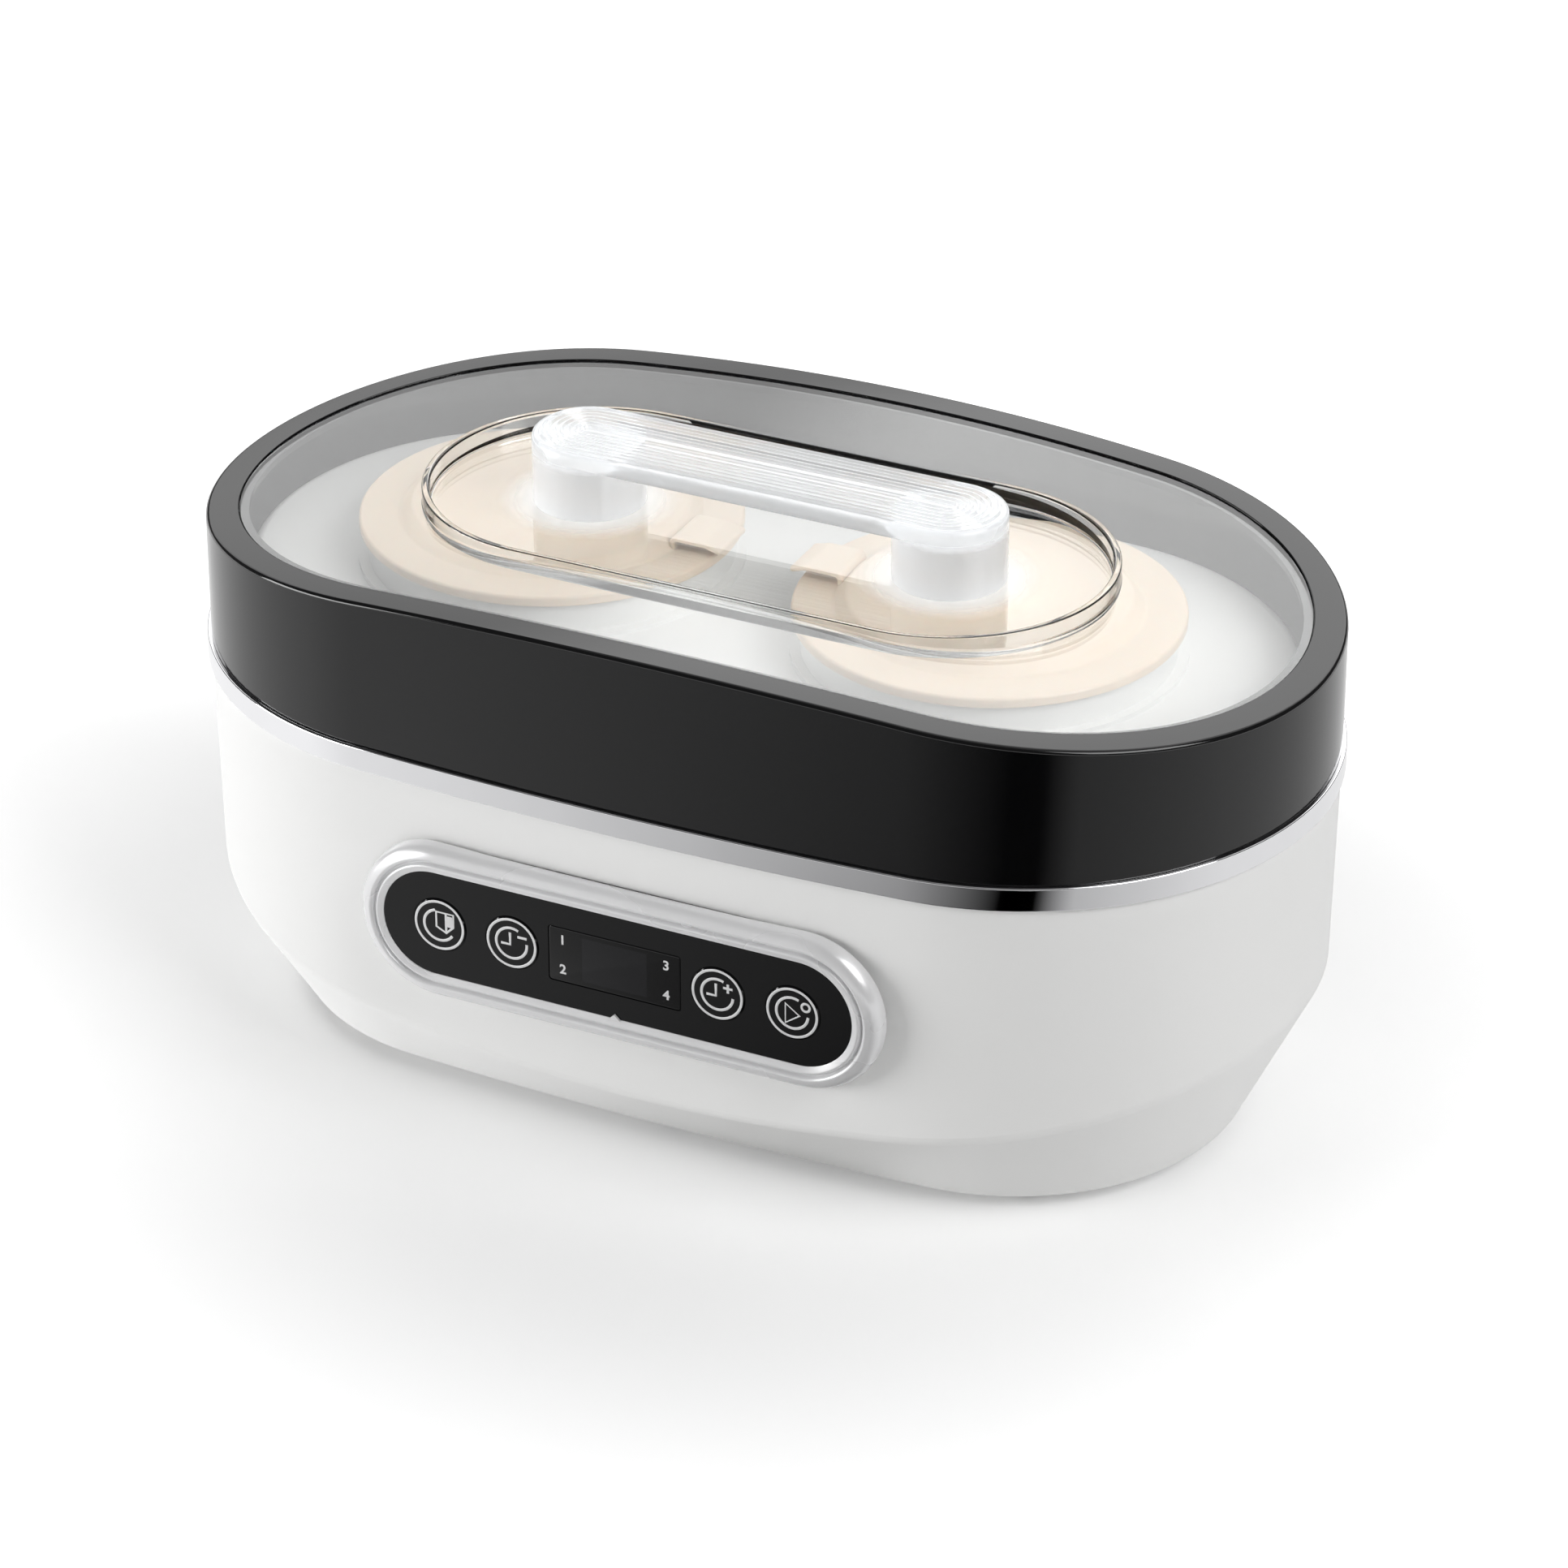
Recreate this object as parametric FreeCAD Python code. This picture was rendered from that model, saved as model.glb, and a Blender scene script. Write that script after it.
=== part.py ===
import FreeCAD
import Part
import math
import os

# Countertop yogurt maker: an oval heated base with two lidded bowls under a clear lid.
# Millimetres, +Z up, origin on the table under the middle of the base, front panel towards -Y.

V = FreeCAD.Vector
UP = V(0, 0, 1)
ACROSS = V(0, 1, 0)

# Oval plan of the lid ring's outer wall: two end arcs and two long side arcs, tangent to each other.
HALF_LENGTH = 165.0
HALF_WIDTH = 91.7
SIDE_SWELL = 2.7

# Heights from the table up to the wells' undersides, then of each piece above another.
FOOT_HEIGHT = 5.0
CREASE_FRONT_Z = 26.5
CREASE_END_Z = 49.5
WELL_UNDER_Z = 41.7
TRIM_HEIGHT = 7.0
DECK_ABOVE_TRIM = 20.4
COLLAR_HIGH = 10.0
LID_ABOVE_DECK = 26.5
ARCH_DROP = 12.3
RECESS_DEPTH = 5.5
HANDLE_RISE = 21.5

# Housing: a nearly upright wall that meets a flared foot in a crease, low at the front and high at the ends.
DRAFT_ANGLE = 0.9
BASE_INSET = 22.0
FLARE_END_SWELL = 16.0
WALL = 2.5
FLARE_WALL = 3.2
LEDGE_WIDTH = 8.0

# General clearances.
FIT = 0.1
GAP = 0.3
SCREW_FIT = 0.1

# Bottom cover, its screws and feet.
COVER_THICK = 2.5
COVER_SCREW_DEEP = 14.0
FOOT_RADIUS = 8.0
FOOT_STEM_RADIUS = 3.0
FOOT_HEAD_RADIUS = 4.2
FOOT_HEAD_THICK = 1.5
FOOT_INSET = 37.0
FOOT_ANGLE = 62.0
VENT_LENGTH = 30.0
VENT_WIDTH = 3.0
VENT_PITCH = 8.0
VENT_COUNT = 5

# Chrome trim ring.
TRIM_PROUD = 1.2
TRIM_THICK = 1.8
TRIM_FOOT_WIDTH = 2.9
TRIM_FOOT_THICK = 1.5

# Inner liner: deck, skirt, flange and snap tongues.
SKIRT_INSET = 12.0
SKIRT_ROUND = 3.0
LINER_WALL = 2.5
TONGUE_WIDTH = 12.0
TONGUE_DEEP = 10.0
TONGUE_THICK = 1.5
TONGUE_XS = (-70.0, -25.0, 25.0, 70.0)
SNAP_RIB = 1.2
SNAP_HOOK = 1.0

# Bowls, wells and bowl caps.
BOWL_X = 67.0
BOWL_TOP_RADIUS = 47.0
BOWL_TAPER = 4.0
BOWL_DEEP = 99.0
BOWL_WALL = 1.8
BOWL_FLANGE_RADIUS = 52.0
BOWL_FLANGE_THICK = 1.5
WELL_CLEAR = 1.2
WELL_WALL = 2.0
WELL_FLOOR = 4.0
WELL_FLOOR_CLEAR = 1.0
WELL_FLANGE = 3.0
WELL_FLANGE_THICK = 1.4
CAP_RADIUS = 54.0
CAP_THICK = 1.8
CAP_PLATEAU_RADIUS = 40.0
CAP_PLATEAU_RISE = 3.5
CAP_SLOPE = 2.5
CAP_PLUG_WALL = 2.0
CAP_PLUG_DEEP = 7.0
SEAL_SECTION = 0.9
SEAL_Z_DROP = 3.6
TAB_WIDTH = 16.0
TAB_LENGTH = 16.0
TAB_OVERHANG = 2.5
TAB_RISE = 4.0
TAB_THICK = 1.6

# Heaters under the wells.
HEATER_PLATE_RADIUS = 44.0
HEATER_STEP_RADIUS = 36.0
HEATER_PLATE_THICK = 2.0
HEATER_MAT_RADIUS = 34.0
HEATER_MAT_HOLE = 9.0
HEATER_MAT_THICK = 1.6
HEATER_SCREW_RADIUS = 40.0
HEATER_SCREWS = 3
SENSOR_RADIUS = 6.0
SENSOR_HEIGHT = 5.0
THERMAL_FUSE_RADIUS = 2.0
THERMAL_FUSE_LENGTH = 14.0
LEAD_RADIUS = 1.2
LEAD_BEND = 5.0
LEAD_MAT_INWARD = 26.0
LEAD_SHIFT = 15.0
LEAD_Y = 13.0

# Control panel on the front wall.
PANEL_DROP = 39.0
PANEL_STAND = 4.6
PANEL_HALF_LENGTH = 71.0
PANEL_HALF_HEIGHT = 16.0
BEZEL_BAND = 7.8
BEZEL_ROUND = 5.0
BEZEL_SLEEVE = 1.5
BEZEL_SLEEVE_DEEP = 6.5
BEZEL_NIB = 1.3
PANEL_GAP = 0.2
FASCIA_RECESS = 1.0
FASCIA_THICK = 2.2
FASCIA_LIP = 0.6
WINDOW_HALF_LENGTH = 20.0
WINDOW_HALF_HEIGHT = 8.5
WINDOW_CORNER = 1.0
DISPLAY_HALF_LENGTH = 12.0
DISPLAY_HALF_HEIGHT = 7.5
BUTTON_RADIUS = 8.0
BUTTON_PROUD = 0.4
BUTTON_CLEAR = 0.25
BUTTON_FLANGE = 1.0
BUTTON_FLANGE_THICK = 1.2
BUTTON_EDGE = 0.35
BUTTON_STEM_RADIUS = 1.8
BUTTON_STROKE = 0.8
BUTTONS = {"button_program": -53.5, "button_minus": -31.2, "button_plus": 31.2, "button_start": 53.5}
BOARD_BEHIND = 10.0
BOARD_THICK = 1.6
BOARD_EDGE = 1.3
POST_RADIUS = 2.5
POST_X = 65.3
POST_Z = 6.0
SWITCH_SIDE = 6.0
SWITCH_HEIGHT = 3.5
SWITCH_PLUNGER_RADIUS = 1.7
SWITCH_PLUNGER_HIGH = 0.9
LED_RADIUS = 1.5
LED_HEIGHT = 6.0
LED_X = 15.5
LED_Z = 4.6
PANEL_SCREW_X = 45.0
PANEL_SCREW_LIFT = 21.0
PANEL_SCREW_GRIP = 2.6

# Power electronics on the bottom cover.
POWER_LENGTH = 124.0
POWER_WIDTH = 56.0
POWER_STANDOFF = 8.0
POWER_POST_RADIUS = 3.5
POWER_POST_EDGE = 5.0
TRANSFORMER_SIZE = (30.0, 25.0, 18.0)
TRANSFORMER_CORE = 22.0
RELAY_SIZE = (19.0, 15.5, 15.0)
TERMINAL_SIZE = (22.0, 9.0, 11.0)
CAPACITOR_RADIUS = 6.0
CAPACITOR_HEIGHT = 17.0
RELAY_X = 36.0
RELAY_Y = 12.0
TERMINAL_X = 28.0
TERMINAL_Y = 21.0
FUSE_RADIUS = 2.6
FUSE_LENGTH = 20.0
FUSE_CLIP_THICK = 1.2
RIBBON_WIDTH = 16.0
RIBBON_THICK = 1.0
RIBBON_BEND = 6.0
RIBBON_DROP_Y = -62.0
RIBBON_END_Y = -20.0

# Screws: shank radius, head radius and head height.
SCREW_SHANK = 1.5
SCREW_HEAD = 3.0
SCREW_HEAD_HIGH = 1.6
BOARD_SCREW_DEEP = 6.0

# Rear gland for the mains lead.
GLAND_Z = 58.0
GLAND_BORE = 3.5
GLAND_SLEEVE = 6.0
GLAND_FLANGE = 8.5
GLAND_FLANGE_THICK = 2.0
GLAND_TAIL = 6.0

# Lid ring, clear window and clear handle.
RING_WALL = 3.0
RING_TOP_WIDTH = 9.3
RING_EDGE = 1.2
RING_LEDGE = 3.0
RING_LEDGE_THICK = 2.0
WINDOW_SINK = 0.6
WINDOW_THICK = 2.2
RECESS_CENTER_X = 53.7
RECESS_RADIUS = 48.0
RECESS_WALL = 2.2
RECESS_EDGE = 0.9
HANDLE_CENTER_X = 55.0
HANDLE_RADIUS = 16.0
HANDLE_THICK = 5.0
HANDLE_EDGE = 2.0
HANDLE_POST_RADIUS = 14.5
HANDLE_POST_WALL = 2.5
HANDLE_RIBS = 7
HANDLE_RIB_PITCH = 1.9
HANDLE_RIB_WIDTH = 0.9
HANDLE_RIB_HIGH = 0.5

# Worked out from the sizes above.
END_RADIUS = HALF_WIDTH - SIDE_SWELL
END_CENTER = HALF_LENGTH - END_RADIUS
SIDE_CENTER = (END_CENTER ** 2 - SIDE_SWELL ** 2) / (2 * SIDE_SWELL)
SIDE_RADIUS = SIDE_CENTER + HALF_WIDTH
TURN = math.degrees(math.atan2(END_CENTER, SIDE_CENTER))
BASE_Z = FOOT_HEIGHT
COVER_TOP_Z = BASE_Z + COVER_THICK
WELL_FLOOR_Z = WELL_UNDER_Z + WELL_FLOOR
BOWL_BASE_Z = WELL_FLOOR_Z + WELL_FLOOR_CLEAR
BOWL_RIM_Z = BOWL_BASE_Z + BOWL_WALL + BOWL_DEEP
SEAT_Z = BOWL_RIM_Z - BOWL_FLANGE_THICK
DECK_Z = SEAT_Z - COLLAR_HIGH
RING_FOOT_Z = DECK_Z - DECK_ABOVE_TRIM
HOUSING_TOP_Z = RING_FOOT_Z - TRIM_HEIGHT
LID_CROWN_Z = DECK_Z + LID_ABOVE_DECK
RING_TOP_THICK = WINDOW_SINK + WINDOW_THICK + FIT
ARCH_RADIUS = (HALF_LENGTH ** 2 + ARCH_DROP ** 2) / (2 * ARCH_DROP)
RECESS_FLOOR_Z = LID_CROWN_Z - RECESS_DEPTH
HANDLE_TOP_Z = RECESS_FLOOR_Z + HANDLE_RISE
CAP_TOP_Z = BOWL_RIM_Z + CAP_THICK
PANEL_Z = HOUSING_TOP_Z - PANEL_DROP
PANEL_FACE_Y = -(HALF_WIDTH + PANEL_STAND)
FASCIA_Y = PANEL_FACE_Y + FASCIA_RECESS
FASCIA_BACK_Y = FASCIA_Y + FASCIA_THICK
BOARD_Y = FASCIA_BACK_Y + BOARD_BEHIND
BOARD_BACK_Y = BOARD_Y + BOARD_THICK
POWER_Z = COVER_TOP_Z + POWER_STANDOFF
POWER_TOP_Z = POWER_Z + BOARD_THICK
DRAFT = math.tan(math.radians(DRAFT_ANGLE))


def fuse_all(shapes):
    """Join solids into one and drop the seams between faces that lie on one surface."""
    whole = shapes[0]
    if len(shapes) > 1:
        whole = whole.multiFuse(list(shapes[1:]))
    return whole.removeSplitter()


def rod(radius, length, foot, direction):
    """A plain cylinder that starts at foot and runs along direction."""
    return Part.makeCylinder(radius, length, foot, direction)


def block(size, low):
    """A box with its lowest corner at low."""
    return Part.makeBox(size[0], size[1], size[2], low)


def centred_block(size, x, y, z):
    """A box that stands on height z with its middle over x, y."""
    return block(size, V(x - size[0] / 2, y - size[1] / 2, z))


def face_of(edges):
    return Part.Face(Part.Wire(Part.__sortEdges__(edges)))


def line(a, b):
    return Part.LineSegment(a, b).toShape()


def arc(a, middle, b):
    return Part.Arc(a, middle, b).toShape()


def polygon_face(points):
    return Part.Face(Part.makePolygon(list(points) + [points[0]]))


def turned(points, x, y):
    """A solid of revolution about the vertical line through x, y, from (radius, height) points."""
    face = polygon_face([V(radius, 0, height) for radius, height in points])
    solid = face.revolve(V(0, 0, 0), UP, 360)
    solid.translate(V(x, y, 0))
    return solid


def side_center(half_length, half_width, end_radius):
    """How far beyond the middle the centre of an oval's long side arc lies."""
    end_center = half_length - end_radius
    swell = half_width - end_radius
    return (end_center ** 2 - swell ** 2) / (2 * swell)


def oval_wire(half_length, half_width, end_radius, z):
    """An oval outline of four tangent arcs at height z."""
    end_center = half_length - end_radius
    lean = math.atan2(end_center, side_center(half_length, half_width, end_radius))
    x = end_center + end_radius * math.sin(lean)
    y = end_radius * math.cos(lean)
    right = arc(V(x, -y, z), V(half_length, 0, z), V(x, y, z))
    back = arc(V(x, y, z), V(0, half_width, z), V(-x, y, z))
    left = arc(V(-x, y, z), V(-half_length, 0, z), V(-x, -y, z))
    front = arc(V(-x, -y, z), V(0, -half_width, z), V(x, -y, z))
    return Part.Wire([right, back, left, front])


def oval_face(offset, z):
    """The oval plan, grown outwards by offset, at height z."""
    return Part.Face(oval_wire(HALF_LENGTH + offset, HALF_WIDTH + offset, END_RADIUS + offset, z))


def oval_prism(offset, low, high):
    return oval_face(offset, low).extrude(V(0, 0, high - low))


def oval_arcs():
    """Centre, radius, start angle and sweep of each of the oval's four arcs."""
    return [
        (V(END_CENTER, 0, 0), END_RADIUS, TURN - 90, 180 - 2 * TURN),
        (V(0, -SIDE_CENTER, 0), SIDE_RADIUS, 90 - TURN, 2 * TURN),
        (V(-END_CENTER, 0, 0), END_RADIUS, 90 + TURN, 180 - 2 * TURN),
        (V(0, SIDE_CENTER, 0), SIDE_RADIUS, 270 - TURN, 2 * TURN),
    ]


def swept_round(profile):
    """Carry a section round the oval. profile(radius) is a face in the XZ plane."""
    pieces = []
    for center, radius, start, sweep in oval_arcs():
        piece = profile(radius).revolve(V(0, 0, 0), UP, sweep)
        piece.rotate(V(0, 0, 0), UP, start)
        piece.translate(center)
        pieces.append(piece)
    return fuse_all(pieces)


def oval_ring(points):
    """A ring round the oval from a section of (offset, height) points."""
    def profile(radius):
        return polygon_face([V(radius + offset, 0, height) for offset, height in points])
    return swept_round(profile)


def stadium_wire(half_length, half_height, y):
    """An upright round-ended outline, centred on the panel, in the plane at y."""
    x = half_length - half_height
    low = PANEL_Z - half_height
    high = PANEL_Z + half_height
    return Part.Wire([
        line(V(-x, y, low), V(x, y, low)),
        arc(V(x, y, low), V(half_length, y, PANEL_Z), V(x, y, high)),
        line(V(x, y, high), V(-x, y, high)),
        arc(V(-x, y, high), V(-half_length, y, PANEL_Z), V(-x, y, low)),
    ])


def panel_slab(grow, front, back):
    """A round-ended slab, as large as the black panel grown by grow, from front to back in y."""
    wire = stadium_wire(PANEL_HALF_LENGTH + grow, PANEL_HALF_HEIGHT + grow, front)
    return Part.Face(wire).extrude(V(0, back - front, 0))


def flat_stadium(center_x, radius, low, high):
    """A lying round-ended slab, symmetric about the origin."""
    bar = Part.makeBox(2 * center_x, 2 * radius, high - low, V(-center_x, -radius, low))
    ends = [Part.makeCylinder(radius, high - low, V(x, 0, low)) for x in (-center_x, center_x)]
    return fuse_all([bar] + ends)


def arch_slab(top_drop, bottom_drop):
    """All that lies between two curves parallel to the lid's arch, at these depths below its crown."""
    reach = HALF_LENGTH + RING_WALL
    width = HALF_WIDTH + RING_WALL
    center = LID_CROWN_Z - ARCH_RADIUS

    def curve(drop):
        radius = ARCH_RADIUS - drop
        side_z = center + math.sqrt(radius ** 2 - reach ** 2)
        return V(-reach, -width, side_z), V(0, -width, LID_CROWN_Z - drop), V(reach, -width, side_z)

    top = curve(top_drop)
    bottom = curve(bottom_drop)
    edges = [arc(*top), line(top[2], bottom[2]), arc(*bottom), line(bottom[0], top[0])]
    return face_of(edges).extrude(V(0, 2 * width, 0))


def screw(seat, direction, depth):
    """A pan-head screw: its head stands on seat and its shank runs depth along direction."""
    head = rod(SCREW_HEAD, SCREW_HEAD_HIGH, seat - direction * SCREW_HEAD_HIGH, direction)
    return fuse_all([head, rod(SCREW_SHANK, depth, seat, direction)])


def group(solids):
    return Part.makeCompound(solids)


def wall_inset(z):
    """How far the housing's upright wall lies inside the oval at height z."""
    return DRAFT * (HOUSING_TOP_Z - z)


def front_wall_y(x, z, depth):
    """The y of the front wall at x and z, depth behind its outer face."""
    radius = SIDE_RADIUS - wall_inset(z) - depth
    return SIDE_CENTER - math.sqrt(radius ** 2 - x ** 2)


def flare_wire(z, inset):
    """The flared foot's outline at height z, inset inside its outer face."""
    rise = z - BASE_Z
    end_high = CREASE_END_Z - BASE_Z
    front_high = CREASE_FRONT_Z - BASE_Z
    end_growth = (BASE_INSET - wall_inset(CREASE_END_Z)) / end_high
    front_growth = (BASE_INSET - wall_inset(CREASE_FRONT_Z)) / front_high
    round_growth = (FLARE_END_SWELL + BASE_INSET) / end_high
    shrink = BASE_INSET + inset
    half_length = HALF_LENGTH - shrink + rise * end_growth
    half_width = HALF_WIDTH - shrink + rise * front_growth
    return oval_wire(half_length, half_width, END_RADIUS - shrink + rise * round_growth, z)


def wall_wire(z, inset):
    """The upright wall's outline at height z, inset inside its outer face."""
    shrink = wall_inset(z) + inset
    return oval_wire(HALF_LENGTH - shrink, HALF_WIDTH - shrink, END_RADIUS - shrink, z)


def body_form(low, wall_in, flare_in):
    """The housing's solid form above low: the upright wall trimmed by the flared foot."""
    wall = Part.makeLoft([wall_wire(low, wall_in), wall_wire(HOUSING_TOP_Z, wall_in)], True, True)
    flare = Part.makeLoft([flare_wire(low, flare_in), flare_wire(HOUSING_TOP_Z, flare_in)], True, True)
    return wall.common(flare)


def cover_screw_spots():
    """Where the cover's screws go: on the housing's ledge, at both ends and on both sides."""
    inset = BASE_INSET + WALL + LEDGE_WIDTH / 2
    end = math.radians(25)
    x = END_CENTER + (END_RADIUS - inset) * math.cos(end)
    y = (END_RADIUS - inset) * math.sin(end)
    spots = [(sx * x, sy * y) for sx in (-1, 1) for sy in (-1, 1)]
    return spots + [(0.0, sy * (HALF_WIDTH - inset)) for sy in (-1, 1)]


def panel_screw_spots():
    return [(sx * PANEL_SCREW_X, PANEL_Z + sz * PANEL_SCREW_LIFT) for sx in (-1, 1) for sz in (-1, 1)]


def wall_block(gap, low, high):
    """A thick ring whose outer face lies gap outside the housing's upright wall."""
    def profile(radius):
        deep = radius - END_RADIUS / 2
        top = radius - wall_inset(high) + gap
        bottom = radius - wall_inset(low) + gap
        return polygon_face([V(top, 0, high), V(bottom, 0, low), V(deep, 0, low), V(deep, 0, high)])
    return swept_round(profile)


def gland_wall_y(depth):
    """The y of the rear wall at the gland, depth behind its outer face."""
    return HALF_WIDTH - wall_inset(GLAND_Z) - depth


def snap_rib():
    """The bead inside the wall that the liner's tongues hook under."""
    high = HOUSING_TOP_Z - TONGUE_DEEP + SNAP_HOOK
    low = high - SNAP_RIB
    inner = -wall_inset(low) - WALL
    root = inner + WALL / 2
    tip = inner - SNAP_RIB
    return oval_ring([(root, low), (tip, low), (tip, high), (root, high)])


def make_outer_housing():
    """The white shell: wall, flared foot, and inside its foot the ledge that takes the cover."""
    ledge_top = COVER_TOP_Z + WALL
    seat = -BASE_INSET - WALL
    shell = body_form(BASE_Z, 0, 0).cut(body_form(ledge_top, WALL, FLARE_WALL))
    shell = shell.cut(oval_prism(seat, BASE_Z, COVER_TOP_Z))
    shell = shell.cut(oval_prism(seat - LEDGE_WIDTH, COVER_TOP_Z, ledge_top))
    shell = fuse_all([shell, snap_rib()])
    boss_top = COVER_TOP_Z + COVER_SCREW_DEEP
    bosses = []
    holes = []
    for x, y in cover_screw_spots():
        bosses.append(rod(SCREW_HEAD + GAP, boss_top - COVER_TOP_Z, V(x, y, COVER_TOP_Z), UP))
        holes.append(rod(SCREW_SHANK + SCREW_FIT, COVER_SCREW_DEEP - WALL, V(x, y, COVER_TOP_Z), UP))
    shell = fuse_all([shell] + bosses)
    holes.append(panel_slab(FASCIA_LIP + BEZEL_SLEEVE + 2 * GAP, PANEL_FACE_Y, BOARD_Y))
    for x, z in panel_screw_spots():
        holes.append(rod(SCREW_SHANK + SCREW_FIT, HALF_WIDTH / 4, V(x, PANEL_FACE_Y, z), ACROSS))
    holes.append(rod(GLAND_SLEEVE + FIT, HALF_WIDTH / 4, V(0, gland_wall_y(3 * WALL), GLAND_Z), ACROSS))
    return shell.cut(group(holes))


def make_bottom_cover():
    plate = oval_prism(-BASE_INSET - WALL - GAP, BASE_Z, COVER_TOP_Z)
    posts = [rod(POWER_POST_RADIUS, POWER_STANDOFF, V(x, y, COVER_TOP_Z), UP) for x, y in power_post_spots()]
    plate = fuse_all([plate] + posts)
    holes = []
    for x, y in power_post_spots():
        holes.append(rod(SCREW_SHANK + SCREW_FIT, POWER_STANDOFF, V(x, y, COVER_TOP_Z), UP))
    for x, y in cover_screw_spots():
        holes.append(rod(SCREW_SHANK + SCREW_FIT, COVER_THICK, V(x, y, BASE_Z), UP))
    for x, y in foot_spots().values():
        holes.append(rod(FOOT_STEM_RADIUS + FIT, COVER_THICK, V(x, y, BASE_Z), UP))
    for side in (-1, 1):
        for step in range(VENT_COUNT):
            y = (step - (VENT_COUNT - 1) / 2) * VENT_PITCH
            holes.append(centred_block((VENT_LENGTH, VENT_WIDTH, COVER_THICK), side * BOWL_X, y, BASE_Z))
    return plate.cut(group(holes))


def foot_spots():
    angle = math.radians(FOOT_ANGLE)
    x = END_CENTER + (END_RADIUS - FOOT_INSET) * math.cos(angle)
    y = (END_RADIUS - FOOT_INSET) * math.sin(angle)
    return {
        "foot_front_left": (-x, -y),
        "foot_front_right": (x, -y),
        "foot_rear_left": (-x, y),
        "foot_rear_right": (x, y),
    }


def make_foot(x, y):
    """A rubber foot whose stem is pulled up through the cover and held by its head."""
    chamfer = FOOT_HEIGHT / 4
    return turned([
        (0, 0),
        (FOOT_RADIUS - chamfer, 0),
        (FOOT_RADIUS, chamfer),
        (FOOT_RADIUS, BASE_Z),
        (FOOT_STEM_RADIUS, BASE_Z),
        (FOOT_STEM_RADIUS, COVER_TOP_Z),
        (FOOT_HEAD_RADIUS, COVER_TOP_Z),
        (FOOT_STEM_RADIUS, COVER_TOP_Z + FOOT_HEAD_THICK),
        (0, COVER_TOP_Z + FOOT_HEAD_THICK),
    ], x, y)


def make_cover_screws():
    return group([screw(V(x, y, BASE_Z), UP, COVER_SCREW_DEEP - WALL) for x, y in cover_screw_spots()])


def make_chrome_trim_ring():
    """An L-shaped ring: a proud band, and a foot that is clamped on the housing's top edge."""
    outer = TRIM_PROUD
    inner = TRIM_PROUD - TRIM_THICK
    return oval_ring([
        (outer, HOUSING_TOP_Z),
        (outer, RING_FOOT_Z),
        (inner, RING_FOOT_Z),
        (inner, HOUSING_TOP_Z + TRIM_FOOT_THICK),
        (inner - TRIM_FOOT_WIDTH, HOUSING_TOP_Z + TRIM_FOOT_THICK),
        (inner - TRIM_FOOT_WIDTH, HOUSING_TOP_Z),
    ])


def well_radius(z):
    """Inner radius of a well at height z: the bowl's outside with its clearance."""
    share = (z - BOWL_BASE_Z) / (BOWL_RIM_Z - BOWL_BASE_Z)
    return BOWL_TOP_RADIUS - BOWL_TAPER * (1 - share) + BOWL_WALL + WELL_CLEAR


def liner_profile(radius):
    """Section of the liner's edge: deck rim, skirt, flange and the lip that sits on the trim's foot."""
    def at(offset, height):
        return V(radius + offset, 0, height)

    skirt = -SKIRT_INSET
    edge = TRIM_PROUD - TRIM_THICK - GAP
    flange_low = RING_FOOT_Z - LINER_WALL
    lip_low = HOUSING_TOP_Z + TRIM_FOOT_THICK
    lip_in = edge - LINER_WALL
    deck_in = skirt - LINER_WALL - 2 * SKIRT_ROUND
    slant = SKIRT_ROUND * (1 - math.sqrt(0.5))
    corners = [
        (skirt, DECK_Z - SKIRT_ROUND),
        (skirt, RING_FOOT_Z),
        (edge, RING_FOOT_Z),
        (edge, lip_low),
        (lip_in, lip_low),
        (lip_in, flange_low),
        (skirt - LINER_WALL, flange_low),
        (skirt - LINER_WALL, DECK_Z - LINER_WALL),
        (deck_in, DECK_Z - LINER_WALL),
        (deck_in, DECK_Z),
        (skirt - SKIRT_ROUND, DECK_Z),
    ]
    edges = [line(at(*a), at(*b)) for a, b in zip(corners, corners[1:])]
    middle = at(skirt - slant, DECK_Z - slant)
    edges.append(arc(at(*corners[-1]), middle, at(*corners[0])))
    return face_of(edges)


def snap_tongue(x, side):
    """A tongue that hangs from the liner's flange, inside the wall, and hooks under the housing's rib."""
    high = RING_FOOT_Z - LINER_WALL / 2
    low = HOUSING_TOP_Z - TONGUE_DEEP - SNAP_HOOK
    rib_face = wall_inset(low) + WALL + SNAP_RIB + GAP
    near = math.sqrt((SIDE_RADIUS - rib_face) ** 2 - (abs(x) + TONGUE_WIDTH / 2) ** 2) - SIDE_CENTER
    rib_low = HOUSING_TOP_Z - TONGUE_DEEP + SNAP_HOOK - SNAP_RIB - GAP
    left = x - TONGUE_WIDTH / 2
    stem = block((TONGUE_WIDTH, TONGUE_THICK, high - low), V(left, near - TONGUE_THICK, low))
    hook = block((TONGUE_WIDTH, SNAP_HOOK, rib_low - low), V(left, near, low))
    tongue = fuse_all([stem, hook])
    if side < 0:
        tongue = tongue.mirror(V(0, 0, 0), ACROSS)
    return tongue


def make_inner_liner():
    """The deck under the lid, with a hole for each well, its skirt, its flange and its tongues."""
    edge = swept_round(liner_profile)
    deck = oval_prism(-SKIRT_INSET - LINER_WALL - SKIRT_ROUND, DECK_Z - LINER_WALL, DECK_Z)
    tongues = [snap_tongue(x, side) for x in TONGUE_XS for side in (-1, 1)]
    hole = well_radius(DECK_Z) + WELL_WALL + FIT
    holes = [rod(hole, LINER_WALL, V(x, 0, DECK_Z - LINER_WALL), UP) for x in (-BOWL_X, BOWL_X)]
    return fuse_all([edge, deck] + tongues).cut(group(holes))


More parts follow.
